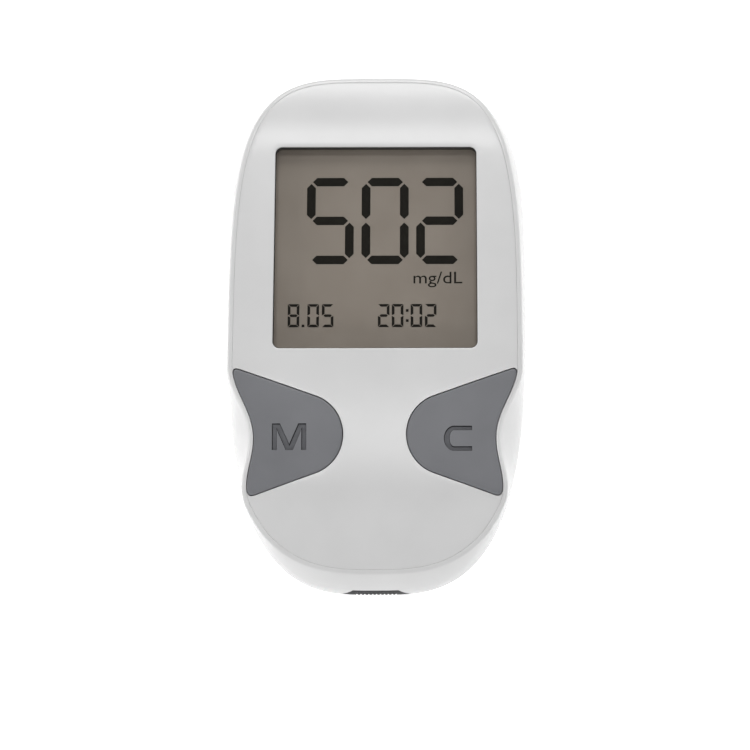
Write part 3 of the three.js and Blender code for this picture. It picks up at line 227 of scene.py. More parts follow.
def clear_pmma():
    """Cast PMMA lens, polished: clear, with faint orange peel. Rays that the display under it sends
    out to find light pass straight through, so that it is lit only once."""
    material = new_material("clear_pmma_polished")
    peel = add(material, "Bump", {
        "Height": noise(material, 6.0, 1), "Strength": 1.0, "Distance": 0.000004,
    })
    surface = add(material, "BsdfPrincipled", {
        "Base Color": tone("#fbfcfc"), "Roughness": 0.03, "IOR": 1.49, "Transmission Weight": 1.0,
        "Normal": peel,
    })
    clear = add(material, "BsdfTransparent", {"Color": tone("#f6f7f7")})
    passed = ray_is(material, "Shadow", "Diffuse", "Glossy")
    mix = add(material, "MixShader", {0: passed, 1: surface, 2: clear})
    add(material, "OutputMaterial", {"Surface": mix})
    return material


def solder_mask():
    """Green solder mask over tracks: a glossy film that rises over copper lines 0.16 mm wide."""
    material = new_material("board_solder_mask_printed")
    tracks = add(material, "TexBrick", {
        "Vector": add(material, "TexCoord").outputs["Object"], "Scale": 1.0,
        "Brick Width": 0.0034, "Row Height": 0.0012, "Mortar Size": 0.00016,
        "Color1": tone("#1d6a3c"), "Color2": tone("#1a6137"), "Mortar": tone("#2c8450"),
    })
    return finish(material, tracks, tracks.outputs["Fac"], 0.03, noise(material, 0.8, 2),
                  (0.25, 0.4), 0.6, IOR=1.5, **{"Coat Weight": 0.3})


lens_pmma = clear_pmma()
board_mask = solder_mask()


# Meshes
def loft(rings, loop=False, caps=True):
    """Surface through closed rings of points: each ring closes on itself, loop joins the last
    ring to the first, and caps close the two ends with flat faces."""
    rings = np.asarray(rings, float)
    index = np.arange(rings.size // 3).reshape(rings.shape[:2])
    beside = np.roll(index, -1, axis=1)
    quads = np.stack([index, beside, *(np.roll(one, -1, axis=0) for one in (beside, index))], -1)
    faces = (quads if loop else quads[:-1]).reshape(-1, 4).tolist()
    if caps and not loop:
        faces += [index[0, ::-1].tolist(), index[-1].tolist()]
    return rings.reshape(-1, 3), faces


def inside(points, outline):
    """Which plan points lie inside an outline: those from which a ray along +X crosses an odd
    number of its edges."""
    start, end = outline, np.roll(outline, -1, axis=0)
    x, y = points[:, :1], points[:, 1:]
    spans = (start[:, 1] > y) != (end[:, 1] > y)
    rise = np.where(end[:, 1] == start[:, 1], 1e-12, end[:, 1] - start[:, 1])
    cross = start[:, 0] + (y - start[:, 1]) * (end[:, 0] - start[:, 0]) / rise
    return (spans & (x < cross)).sum(axis=1) % 2 == 1


def filled(outline, holes, depth, spacing, down=False):
    """Skin over a plan outline with holes: a square grid of inner points and the edge points,
    joined by Delaunay triangles, each raised to the face less a depth."""
    def held(spots):
        return inside(spots, outline) & ~np.any([inside(spots, hole) for hole in holes], axis=0)

    loops = [outline, *holes]
    edge = np.concatenate(loops)
    spans = [np.arange(a, b, spacing) for a, b in zip(outline.min(axis=0), outline.max(axis=0))]
    grid = np.stack(np.meshgrid(*spans), -1).reshape(-1, 2) + spacing * 0.37
    grid = grid[held(grid)]
    apart = np.min(np.hypot(*(grid[:, None] - edge[None]).transpose(2, 0, 1)), axis=1)
    points = np.concatenate([edge, grid[apart > spacing * 0.6]])
    ends = np.cumsum([0] + [len(one) for one in loops])
    runs = [np.arange(a, b) for a, b in zip(ends[:-1], ends[1:])]
    edges = np.concatenate([np.stack([run, np.roll(run, -1)], axis=1) for run in runs]).tolist()
    found = delaunay_2d_cdt([Vector(spot) for spot in points.tolist()], edges, [], 1, 1e-6)
    placed, faces = np.array([tuple(spot) for spot in found[0]]), np.array(found[2])
    faces = faces[held(placed[faces].mean(axis=1))]
    return on_face(placed, depth), (faces[:, ::-1] if down else faces).tolist()


def put(name, data):
    """Links a new object to the scene."""
    piece = bpy.data.objects.new(name, data)
    bpy.context.scene.collection.objects.link(piece)
    return piece


def build(name, shells, materials=(white_abs,), sharp=38):
    """Mesh object from shells of (points in mm, faces) or (points, faces, material index)."""
    points, faces, kinds = [], [], []
    start = 0
    for spots, own_faces, *kind in shells:
        points.append(spots)
        faces += [[corner + start for corner in face] for face in own_faces]
        kinds += (kind or [0]) * len(own_faces)
        start += len(spots)
    mesh = bpy.data.meshes.new(name)
    mesh.from_pydata((np.concatenate(points) / 1000).tolist(), [], faces)
    mesh.polygons.foreach_set("material_index", kinds)
    merged = bmesh.new()
    merged.from_mesh(mesh)
    bmesh.ops.remove_doubles(merged, verts=merged.verts, dist=2e-7)
    merged.to_mesh(mesh)
    merged.free()
    for material in materials:
        mesh.materials.append(material)
    return soften(put(name, mesh), sharp)


def soften(piece, sharp):
    """Smooth shading, with edges over an angle kept sharp."""
    piece.data.polygons.foreach_set("use_smooth", [True] * len(piece.data.polygons))
    piece.data.set_sharp_from_angle(angle=math.radians(sharp))
    piece.data.update()
    return piece


def worked_out(piece):
    """Mesh of an object with its modifiers or its lettering worked out."""
    bpy.context.view_layer.update()
    shaped = piece.evaluated_get(bpy.context.evaluated_depsgraph_get())
    return bpy.data.meshes.new_from_object(shaped)


def carve(piece, tools, operation="DIFFERENCE"):
    """Cuts tools, shells or objects, out of a piece, or joins them to it, and removes them."""
    for one in tools:
        one = build("tool", [one]) if isinstance(one, tuple) else one
        change = piece.modifiers.new("carve", "BOOLEAN")
        change.operation = operation
        change.solver = "EXACT"
        change.object = one
        mesh = worked_out(piece)
        piece.modifiers.clear()
        piece.data = mesh
        mesh.name = piece.name
        bpy.data.objects.remove(one)
    return piece


def place(piece, slot, *nodes, body="meter"):
    """Hangs a finished piece on the body it rides on and hides the nodes it stands for; slot is not
    used.
    """
    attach(piece, body)
    if nodes:
        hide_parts(*nodes)
    return piece


# Outlines and rings
def arc(centre, radius, angle):
    """Points round a centre at these angles: radius times cosine across and times sine up."""
    return centre + radius * np.stack([np.cos(angle), np.sin(angle)], axis=1)


def circle(x, y, radius, count=64):
    """Plan circle."""
    return arc(np.array([x, y]), radius, np.arange(count) * 2 * np.pi / count)


def rounded(x, y, width, height, corner, steps=10):
    """Rectangle with quarter-circle corners, counterclockwise from the lower right one."""
    turn = np.linspace(0, np.pi / 2, steps)
    corners = []
    for i, (sx, sy) in enumerate([(1, -1), (1, 1), (-1, 1), (-1, -1)]):
        angle = turn + (i - 1) * np.pi / 2
        centre = np.array([x + sx * (width / 2 - corner), y + sy * (height / 2 - corner)])
        corners.append(arc(centre, corner, angle))
    return np.concatenate(corners)


def rounding(radius, steps):
    """Quarter circle in steps: how far each of its points lies in from the one side of a corner
    (1 less the cosine) and from the other (1 less the sine)."""
    turn = np.linspace(0, math.pi / 2, steps)
    return radius * np.stack([1 - np.cos(turn), 1 - np.sin(turn)], axis=1)


def outward(points):
    """Unit directions square to a closed ring: the chord of the two neighbours, turned by 90
    degrees."""
    chord = np.roll(points, -1, axis=0) - np.roll(points, 1, axis=0)
    square = np.stack([chord[:, 1], -chord[:, 0]], axis=1)
    return square / np.linalg.norm(square, axis=1, keepdims=True)


def resample(points, count):
    """The same open line with count points, evenly spaced along it."""
    steps = np.linalg.norm(np.diff(points, axis=0), axis=1)
    travelled = np.concatenate([[0], np.cumsum(steps)])
    target = np.linspace(0, travelled[-1], count)
    return np.stack([np.interp(target, travelled, values) for values in points.T], axis=1)


def at_height(ring, z):
    """Plan ring raised to one height."""
    return np.column_stack([ring, np.full(len(ring), float(z))])


def upright(ring, y):
    """Ring of (x, z) points, stood up in the plane of one y."""
    return np.column_stack([ring[:, 0], np.full(len(ring), y), ring[:, 1]])


def column(outline, levels):
    """Closed shell through one plan outline that grows by level: (height, growth) pairs."""
    out = outward(outline)
    return loft([at_height(outline + out * grow, z) for z, grow in levels])


def box(x0, x1, y0, y1, z0, z1):
    """Closed box."""
    ring = np.array([[x0, y0], [x1, y0], [x1, y1], [x0, y1]], float)
    return loft([at_height(ring, z0), at_height(ring, z1)])


# Form of the housing
def superellipse(outline, angle):
    """x = half width times cos to the power 2/n, y = widest place plus reach times sin to the
    power 2/n, with its own reach and n in the upper and the lower half."""
    across, along = np.cos(angle), np.sin(angle)
    upper = along >= 0
    power = 2 / np.where(upper, outline["n_up"], outline["n_down"])
    reach = np.where(upper, outline["up"], outline["down"])
    x = outline["half"] * np.sign(across) * np.abs(across) ** power
    y = outline["widest"] + reach * np.sign(along) * np.abs(along) ** power
    return np.stack([x, y], axis=-1)


def even_angles(outline, count):
    """Angles whose points on the superellipse are evenly spaced along it."""
    angles = (np.linspace(0, 2, count * 24 + 1) - 0.5) * np.pi
    steps = np.linalg.norm(np.diff(superellipse(outline, angles), axis=0), axis=1)
    travelled = np.concatenate([[0], np.cumsum(steps)])
    return np.interp(np.arange(count) * travelled[-1] / count, travelled, angles)


def halved(held, reach):
    """How far along each ray a test is held: the span from 0 to its reach, halved 40 times."""
    near, far = np.zeros(len(reach)), reach
    for _ in range(40):
        middle = (near + far) / 2
        test = held(middle)
        near, far = np.where(test, middle, near), np.where(test, far, middle)
    return near


def meets_case(points, directions):
    """Where rays from points leave the widest outline: its two powers there add up to 1."""
    def held(way):
        x, y = (points + directions * way[:, None]).T
        upper = y > CASE["widest"]
        power = np.where(upper, CASE["n_up"], CASE["n_down"])
        along = np.abs(y - CASE["widest"]) / np.where(upper, CASE["up"], CASE["down"])
        return np.abs(x / CASE["half"]) ** power + along ** power < 1

    reach = halved(held, np.full(len(points), CASE["half"]))
    return points + directions * reach[:, None]


def scoop_at(y):
    """Squared cosine hump beside the keys, with a reach of 12 mm up and 12.5 down."""
    share = np.minimum(np.abs(y - SCOOP_Y) / np.where(y > SCOOP_Y, 12.0, 12.5), 1)
    return SCOOP_DEEP * np.cos(share * np.pi / 2) ** 2


def rim_edge_at(y):
    """Half width of the rim's inner edge: the superellipse solved for x, less the scoop."""
    upper = y > RIM["widest"]
    power = np.where(upper, RIM["n_up"], RIM["n_down"])
    share = np.minimum(np.abs(y - RIM["widest"]) / np.where(upper, RIM["up"], RIM["down"]), 1)
    return RIM["half"] * (1 - share ** power) ** (1 / power) - scoop_at(y)


def face_height(points):
    """Level, until a parabola bends it by 11 degrees over 22 mm and a slope goes on from there. A
    fold where the bend ends is a bell curve 0.2 mm deep, steep above and gentle below. Parabolas
    roll the face off at the display end and, less, towards both sides."""
    x, y = points.T
    slope = math.tan(math.radians(11))
    bend = np.clip(BEND_FROM - y, 0, BEND_FROM - BEND_TO)
    straight = np.maximum(BEND_TO - y, 0)
    roll = np.maximum(y - ROLL_FROM, 0) / 15
    side = np.maximum(np.abs(x) - SIDE_FROM, 0) / 10
    fold = 0.2 * np.exp(-((y - BEND_TO) / np.where(y > BEND_TO, 1.7, 5.0)) ** 2)
    bent = FACE_Z - slope * bend ** 2 / (2 * (BEND_FROM - BEND_TO)) - slope * straight
    return bent - 1.9 * roll ** 2 - 0.45 * side ** 2 - fold


def on_face(ring, depth):
    """Plan ring raised to the face, less a depth."""
    return np.column_stack([ring, face_height(ring) - depth])


rim_open = superellipse(RIM, even_angles(RIM, STATIONS))
rim_out = outward(rim_open)
rim_scoop = np.sign(rim_open[:, 0]) * scoop_at(rim_open[:, 1])
case_ring = meets_case(rim_open, rim_out)
case_out = outward(case_ring)


def case_at(inset, z):
    """The widest outline drawn in by an inset, at one height."""
    return at_height(case_ring - case_out * inset, z)


def rim_ring(move):
    """Rim's inner edge moved out square to itself, then drawn in across by the scoop."""
    moved = rim_open + rim_out * move
    moved[:, 0] -= rim_scoop
    return moved


def wall_ring(share, inset):
    """Front wall: from under the rim (share 0) to the seam (share 1) the plan place goes from rim
    to widest outline by 1 - (1 - share) squared, and the scoop fades by (1 - share) to the 1.3."""
    top = rim_open + rim_out * RIM_WIDTH
    spread = 1 - (1 - share) ** 2
    spot = top + (case_ring - top) * spread
    spot[:, 0] -= rim_scoop * (1 - share) ** 1.3
    spot = spot - rim_out * inset
    top_z = face_height(rim_open) - RIM_DROP
    return np.column_stack([spot, top_z + (FRONT_SEAM - top_z) * share])


def crown_ring(move):
    """Crown of the rim: falls from its inner edge by 0.3 mm times (move / width) to the 2.64,
    and by the fall that the scoop leaves between rim and wall times the square."""
    ring = rim_ring(move)
    share = max(move, 0) / RIM_WIDTH
    fall = face_height(rim_ring(RIM_WIDTH)) - face_height(rim_open)
    return on_face(ring, RIM_DROP * share ** 2.64 + fall * share ** 2)


def front_housing():
    """One closed band: up the flared wall, over the rim's crown, down to the ledge that carries
    the face panel, under it and down inside the wall to the seam."""
    rings = [wall_ring(1, 0.16), wall_ring(0.996, 0.05), wall_ring(0.985, 0)]
    rings += [wall_ring(share, 0) for share in (*np.linspace(0.95, 0.04, 22), 0.012)]
    rings += [crown_ring(move) for move in np.linspace(0.72, 0.1, 8)]
    for down_by, in_by in rounding(EDGE, 4):
        rings.append(crown_ring(-RIM_LAP + in_by) - [0, 0, down_by])
    rings += [on_face(rim_ring(-RIM_LAP), depth) for depth in (0.9, LEDGE)]
    rings += [on_face(rim_ring(move), LEDGE) for move in (-1.2, -2.4, -3.4)]
    rings += [on_face(rim_ring(move), LEDGE_UNDER) for move in (-3.4, -1.6)]
    rings += [wall_ring(share, WALL) for share in (0.3, 0.5, 0.75, 0.9, 1)]
    return build("front_housing", [loft(rings, loop=True)])


def back_ring(share, inset):
    """Back: a quarter ellipse from the seam (share 0) to the flat (share 1), 6.5 mm wide."""
    turn = share * math.pi / 2
    inward = inset + (BACK_ROUND - inset / 2) * (1 - math.cos(turn))
    return case_at(inward, inset + (REAR_SEAM - inset) * (1 - math.sin(turn)))


def back_form(inset=0):
    """Outer form of the back, closed over the seam, drawn in by an inset."""
    rings = [back_ring(share, inset) for share in (*np.linspace(1, 0, 20)[:-1], 0.02)]
    return loft([*rings, case_at(inset + 0.05, REAR_SEAM - 0.05), case_at(inset + 0.16, REAR_SEAM)])


def port_prism(grow, y0, y1):
    """Prism of the port's outline along Y: a trapezium above and below a broad middle."""
    half, broad, narrow = PORT_HALF + grow, PORT_BROAD + grow, PORT_NARROW + grow
    shoulder = half * 0.3
    shape = np.array([
        [-narrow, -half], [narrow, -half], [broad, -shoulder], [broad, shoulder],
        [narrow, half], [-narrow, half], [-broad, shoulder], [-broad, -shoulder],
    ])
    return loft([upright(shape + [0, PORT_Z], y) for y in (y1, y0)])


def port_insert():
    """Insert of the strip port: the case's outer form within the port's outline, with a flange
    inside, a slot that widens outwards, and upright grooves 0.3 mm wide, 0.7 mm apart."""
    rings = [back_ring(share, 0) for share in np.linspace(1, 0, 20)]
    rings += [wall_ring(share, 0) for share in np.linspace(1, 0.05, 20)]
    insert = build("port_insert_ribbed", [loft(rings)], [port_abs])
    carve(insert, [port_prism(0, PORT_FRONT, PORT_BACK)], "INTERSECT")
    carve(insert, [port_prism(0.35, PORT_BACK - 0.6, PORT_BACK)], "UNION")
    corners = np.array([[-1, 1], [1, 1], [1, -1], [-1, -1]])
    mouth = loft([
        upright(corners * [SLOT_WIDTH / 2 + grow, SLOT_HEIGHT / 2 + grow] + [0, PORT_Z], y)
        for y, grow in ((CASE_END - 0.1, 0.5), (CASE_END + 0.4, 0.0), (PORT_BACK + 1, 0.0))
    ])
    grooves = build("tool", [
        box(x - 0.15, x + 0.15, CASE_END - 3, CASE_END + 0.3, PORT_Z - 2.7, PORT_Z + 2.7)
        for x in (np.arange(11) - 5) * 0.7
    ])
    return soften(carve(insert, [mouth, grooves]), 30)


# Face: panel and keys
def window_ring(grow):
    """Plan outline of the display opening, grown."""
    width, height = WINDOW["width"] + 2 * grow, WINDOW["height"] + 2 * grow
    return rounded(0, WINDOW["y"], width, height, WINDOW["corner"] + grow)


def crossing(a, b, ring):
    """Where the line from a, outside a ring, to b, inside it, enters it: 30 halvings."""
    for _ in range(30):
        middle = (a + b) / 2
        a, b = (a, middle) if inside(middle[None], ring)[0] else (middle, b)
    return (a + b) / 2


def key_outline(grow, inset):
    """Right key: nose arc, flanks at the flare angle, the rim's edge held in by an inset, and
    corners eased by quadratic curves over 1.4 mm. A flank starts where the nose arc has its
    slope, and halving finds where it meets the rim's edge."""
    radius = KEY_RADIUS + grow
    touch_x = KEY_NOSE_X - radius * math.sin(KEY_FLARE)
    touch_y = radius * math.cos(KEY_FLARE)
    along = np.array([math.cos(KEY_FLARE), math.sin(KEY_FLARE)])
    both = np.array([1, -1])
    flanks = lambda way: (touch_x + along[0] * way, KEY_Y + both * (touch_y + along[1] * way))

    def held(way):
        x, y = flanks(way)
        return x < rim_edge_at(y) - inset

    upper, lower = np.transpose(flanks(halved(held, np.full(2, 40.0))))
    ease = KEY_EASE + grow / 2
    turn = np.linspace(math.pi / 2 + KEY_FLARE, 1.5 * math.pi - KEY_FLARE, 120)
    nose = arc(np.array([KEY_NOSE_X, KEY_Y]), radius, turn)
    edge_y = np.linspace(lower[1] + ease, upper[1] - ease, 80)
    edge = np.stack([rim_edge_at(edge_y) - inset, edge_y], axis=1)
    t = np.linspace(0, 1, 12)[:, None]
    bow = lambda a, b, c: a * (1 - t) ** 2 + b * 2 * t * (1 - t) + c * t ** 2
    lower_bow = bow(lower + ease * along * [-1, 1], lower, edge[0])
    upper_bow = bow(edge[-1], upper, upper - ease * along)
    runs = [
        resample(nose, 140), resample(np.array([nose[-1], lower_bow[0]]), 40), lower_bow, edge,
        upper_bow, resample(np.array([upper_bow[-1], nose[0]]), 40),
    ]
    return np.concatenate([run[:-1] for run in runs])


def panel_outline(inset):
    """Rim curve held in by a fine joint and an inset, notched by both key outlines grown by the
    inset. Four runs meet where the notches' eased corners cross the rim curve."""
    ring = rim_ring(-PANEL_HELD - inset)
    cut = key_outline(inset - PANEL_HELD, RIM_LAP - inset)
    within = inside(cut, ring)
    first = int(np.flatnonzero(within & ~np.roll(within, 1))[0])
    cut, within = np.roll(cut, -first, axis=0), np.roll(within, -first)
    last = int(np.flatnonzero(~within)[0]) - 1
    upper_corner = crossing(cut[-1], cut[0], ring)
    lower_corner = crossing(cut[last + 1], cut[last], ring)
    notch_right = np.concatenate([[upper_corner], cut[:last + 1], [lower_corner]])[::-1]
    notch_left = notch_right[::-1] * [-1, 1]
    right = np.flatnonzero(inside(ring, cut))
    left = np.flatnonzero(inside(ring, cut[::-1] * [-1, 1]))
    upper = [[upper_corner], ring[right[-1] + 1:left[0]], [upper_corner * [-1, 1]]]
    lower = [[lower_corner * [-1, 1]], ring[left[-1] + 1:], ring[:right[0]], [lower_corner]]
    runs = [
        resample(np.concatenate(lower), 200), resample(notch_right, 160),
        resample(np.concatenate(upper), 420), resample(notch_left, 160),
    ]
    return np.concatenate([run[:-1] for run in runs])


def face_panel():
    """Plate that follows the face, with edges rounded finely outside and by 0.15 mm round the
    window, and a step under the window for the lens."""
    lip, step = 0.15, window_ring(1.4)
    outline = panel_outline(0)
    rings = [on_face(outline, PANEL), on_face(outline, EDGE)]
    rings += [on_face(panel_outline(in_by), down_by) for in_by, down_by in rounding(EDGE, 5)[1:]]
    hole = [on_face(window_ring(grow), down_by) for down_by, grow in rounding(lip, 5)]
    hole += [at_height(window_ring(0), LENS_SEAT), at_height(step, LENS_SEAT), on_face(step, PANEL)]
    top = filled(panel_outline(EDGE), [window_ring(lip)], 0, 0.7)
    under = filled(outline, [step], PANEL, 2.5, down=True)
    shells = [loft(rings, caps=False), loft(hole, caps=False), top, under]
    return build("face_panel_inset", shells)


def letter_m():
    """M in a box 5.96 by 4.59 mm: two stems and two slants of even weight."""
    shape = np.array([
        [0, 0], [110, 0], [240, 283], [365, 0], [475, 0], [475, 363], [408, 363], [408, 87],
        [292, 363], [190, 363], [68, 87], [68, 363], [0, 363],
    ], float)
    x, y = -17.84 + shape[:, 0] * 5.96 / 475, -17.64 - shape[:, 1] * 4.59 / 363
    return np.stack([x, y], axis=1)[::-1]


def letter_c():
    """C in a box 4.9 by 4.33 mm: half ellipses outside and inside, run out to square ends."""
    turn = np.linspace(math.pi / 2, 1.5 * math.pi, 40)
    left, right, high, low, stroke = 12.02, 16.92, -18.1, -22.43, 0.78
    middle, half = (high + low) / 2, (high - low) / 2
    arcs = [arc(np.array([left + start, middle]), np.array([reach, tall]), turn)
            for start, reach, tall in ((1.8, 1.8, half), (1.75, 0.75, half - stroke))]
    ends = [[right, low], [right, low + stroke]]
    starts = [[right, high - stroke], [right, high]]
    return np.concatenate([arcs[0], ends, arcs[1][::-1], starts])


def drawn_in(outline):
    """Outline whose edges each move inwards, by 0.08 mm and up to 0.1 mm more where they face the
    upper left, so that the dark walls' painted shade shows widest there. A corner is where two
    neighbouring edges' lines then cross."""
    ahead = np.roll(outline, -1, axis=0) - outline
    ahead /= np.linalg.norm(ahead, axis=1, keepdims=True)
    out = np.stack([ahead[:, 1], -ahead[:, 0]], axis=1)
    faced = np.maximum(out @ np.array([-0.45, 0.89]), 0)
    reach = (out * outline).sum(axis=1) - 0.08 - 0.1 * faced
    pair = np.stack([np.roll(out, 1, axis=0), out], axis=1)
    reaches = np.stack([np.roll(reach, 1), reach], axis=1)
    return np.linalg.solve(pair, reaches[..., None])[..., 0]


def key_cap(name, side, letter):
    """Key: upright wall, edge rounded by 0.3 mm, top that follows the face 0.12 mm proud of it,
    a letter sunk 0.25 mm deep, a flange under the panel and the plunger."""
    proud, edge, deep, foot = 0.12, 0.3, 0.25, 2.7
    turn_over = lambda ring: ring if side > 0 else ring[::-1] * [-1, 1]
    outline = lambda held: turn_over(key_outline(-KEY_HELD - held, KEY_HELD - 0.08 + held))
    rings = [on_face(outline(0), depth) for depth in (foot, 1.0, edge - proud)]
    rings += [on_face(outline(in_by), down_by - proud) for in_by, down_by in rounding(edge, 6)[1:]]
    roof = filled(outline(edge), [letter], -proud, 0.45)
    base = filled(outline(0), [], foot, 1.5, down=True)
    sunk = drawn_in(letter)
    pocket = loft([on_face(letter, -proud), on_face(sunk, deep - proud)], caps=False)
    floor = filled(sunk, [], deep - proud, 0.4)
    wide = turn_over(key_outline(0.8, 0.6))
    flange = loft([on_face(wide, foot), on_face(wide, LEDGE)])
    plunger = column(circle(side * PLUNGER_X, KEY_Y, 2.3, 48), [(17.9, 0), (19.2, 0)])
    # Material 2, the near-black walls of the letter, is painted shade; material 1 is the ink.
    shells = [loft(rings, caps=False), roof, base, (*pocket, 2), (*floor, 1), flange, plunger]
    return build(name, shells, [key_abs, letter_ink, letter_wall_painted_shade])


# Display
BARS = {"0": "abcdef", "2": "abged", "5": "afgcd", "8": "abcdefg"}


def pointed_bars(x, y, digit):
    """Large digit: bars 1.56 mm thick with 45 degree points, on lines 6.86 mm across and 7.2 mm
    up."""
    across, up, thick = 6.86, 7.2, 0.78
    lines = {"a": (0, 2, 1, 2), "b": (1, 1, 1, 2), "c": (1, 0, 1, 1), "d": (0, 0, 1, 0),
             "e": (0, 0, 0, 1), "f": (0, 1, 0, 2), "g": (0, 1, 1, 1)}
    bars = []
    for key in BARS[digit]:
        a, b = np.array([x, y]) + thick + np.reshape(lines[key], (2, 2)) * [across, up]
        along = (b - a) / np.linalg.norm(b - a)
        square = np.array([-along[1], along[0]]) * thick
        inset = along * (0.25 if key in "adg" else 0.33)
        a, b, point = a + inset, b - inset, along * thick
        bars.append(np.array([
            a, a + point - square, b - point - square, b, b - point + square, a + point + square,
        ]))
    return bars


def mitred_bars(x, y, digit):
    """Small digit, w wide and h high: bars t thick with slanted ends that meet in mitres a gap g
    apart, and a pointed bar across the middle m."""
    w, h, t, g, m = 2.05, 4.18, 0.47, 0.06, 2.09
    shapes = {
        "a": [(t + g, h - t), (w - t - g, h - t), (w - g, h), (g, h)],
        "d": [(g, 0), (w - g, 0), (w - t - g, t), (t + g, t)],
        "f": [(0, m + g), (t, m + t / 2 + g), (t, h - t - g), (0, h - g)],
        "e": [(0, g), (t, t + g), (t, m - t / 2 - g), (0, m - g)],
        "b": [(w - t, m + t / 2 + g), (w, m + g), (w, h - g), (w - t, h - t - g)],
        "c": [(w - t, t + g), (w, g), (w, m - g), (w - t, m - t / 2 - g)],
        "g": [(t / 2 + g, m), (t + g, m - t / 2), (w - t - g, m - t / 2), (w - t / 2 - g, m),
              (w - t - g, m + t / 2), (t + g, m + t / 2)],
    }
    return [np.array(shapes[key]) + [x, y] for key in BARS[digit]]


def display_bars():
    """All bars and dots of the display, as films 0.02 mm thick on the front glass."""
    shapes = []
    for x, digit in ((-12.38, "5"), (-2.57, "0"), (7.2, "2")):
        shapes += pointed_bars(x, 11.25, digit)
    date, time = zip((-15.54, -12.06, -9.5), "805"), zip((0.42, 2.88, 6.22, 8.74), "2002")
    for x, digit in (*date, *time):
        shapes += mitred_bars(x, -0.21, digit)
    dot = np.array([[0, 0], [0.48, 0], [0.48, 0.48], [0, 0.48]])
    shapes += [dot + spot for spot in ([-13.05, -0.2], [5.37, 2.55], [5.37, 0.72])]
    shells = [column(shape, [(GLASS_Z, 0), (GLASS_Z + FILM, 0)]) for shape in shapes]
    return build("display_digits", shells, [segment_ink])


def window_liner():
    """Dark liner round the display, painted shade of the window's walls and edge: foam and film 0.1
    mm thick inside the window above the lens, and a flat frame between lens and glass. All are
    rounded rectangles carried round a closed section."""
    lining, lower, under = [
        loft([at_height(window_ring(grow), z) for grow, z in section], loop=True)
        for section in (
            [(0, 21.2), (0, 21.62), (-0.05, 21.68), (-0.1, 21.62), (-0.1, 21.2)],
            [(0, 20.81), (0, 21.19), (-0.1, 21.19), (-0.1, 20.81)],
            [(1.2, 19.63), (1.2, 19.87), (0.02, 19.87), (0.02, 19.63)],
        )
    ]
    shells = [lining, (*lower, 1), (*under, 1)]
    return build("window_painted_shade_liner", shells, [painted_shade_foam, painted_shade_film])


def display_unit():
    """The unit under the digits, in the plain built-in typeface, as a film on the front glass."""
    curve = bpy.data.curves.new("display_unit", "FONT")
    curve.body = "mg/dL"
    curve.extrude = 0.01
    curve.resolution_u = 6
    lettering = put("display_unit_text", curve)
    mesh = worked_out(lettering)
    bpy.data.objects.remove(lettering)
    points = np.empty(len(mesh.vertices) * 3)
    mesh.vertices.foreach_get("co", points)
    points = points.reshape(-1, 3)
    low, high = points.min(axis=0), points.max(axis=0)
    target_low, target_high = np.array([[6.72, 7.0, GLASS_Z], [15.4, 9.85, GLASS_Z + FILM]])
    points = target_low + (points - low) * (target_high - target_low) / (high - low)
    mesh.vertices.foreach_set("co", (points / 1000).ravel())
    mesh.materials.clear()
    mesh.materials.append(segment_ink)
    mesh.name = "display_unit"
    return put("display_unit", mesh)


# Back, door, domes, screws and cells
def door_room(gap):
    """Plate, tongues above the back's skin and nose of the door, grown by a gap. Where there is a
    gap, the plate goes on through the back."""
    side, low, far = DOOR_HALF + gap, DOOR_LOW - gap, CASE_TOP + 3
    deck = (2.1 - gap, 2.8 + gap)
    return [
        box(-side, side, low, far, -3 if gap > 0 else 0.3, 2.1),
        box(-TONGUE_HALF - gap, TONGUE_HALF + gap, low, far, *deck),
        box(-2.5 - gap, 2.5 + gap, low - 1.7, DOOR_LOW + 3, *deck),
    ]


def back_cover():
    """Back shell: hollow, with lip, bay, door channels, screw wells and the port's half."""
    cover = build("back_cover", [back_form()])
    hollow = [back_ring(share, WALL) for share in (1, 0.8, 0.6, 0.4, 0.2, 0)]
    carve(cover, [loft([*hollow, case_at(WALL, REAR_SEAM + 3)])])
    low, high = REAR_SEAM - 1.2, 11.2
    section = [(1.05, low), (1.05, high - 0.1), (1.15, high), (WALL, high), (WALL + 0.05, low)]
    lip = loft([case_at(inset, z) for inset, z in section], loop=True)
    bay_end = BAY_HIGH + 1.2
    bay_walls = box(-12.6, 12.6, BAY_LOW - 1.2, bay_end, 0.9, 13.4)
    channels = box(-15.6, 15.6, -18.105, bay_end, 0.9, 4.3)
    carve(cover, [lip, bay_walls, channels], "UNION")
    for x, y in CASE_SCREWS:
        boss = build("boss", [column(circle(x, y, 3.0), [(0.9, 0), (REAR_SEAM, 0)])])
        carve(cover, [carve(boss, [back_form(WALL / 2)], "INTERSECT")], "UNION")
    carve(cover, [box(-11.4, 11.4, BAY_LOW, BAY_HIGH, -3, 12.6)])
    carve(cover, [box(-0.3, 0.3, BAY_LOW + 1.3, BAY_HIGH - 1.3, CELL_Z, 12.7)], "UNION")
    carve(cover, door_room(GAP))
    levels = [(-0.2, 0.32), (0, 0.12), (0.15, 0.02), (0.3, 0), (4.4, 0)]
    for x, y in CASE_SCREWS:
        shank = column(circle(x, y, 1.1, 32), [(3, 0), (13, 0)])
        carve(cover, [column(circle(x, y, 2.2), levels), shank])
    return soften(carve(cover, [port_prism(PORT_GAP, CASE_END - 3, PORT_REACH)]), 30)


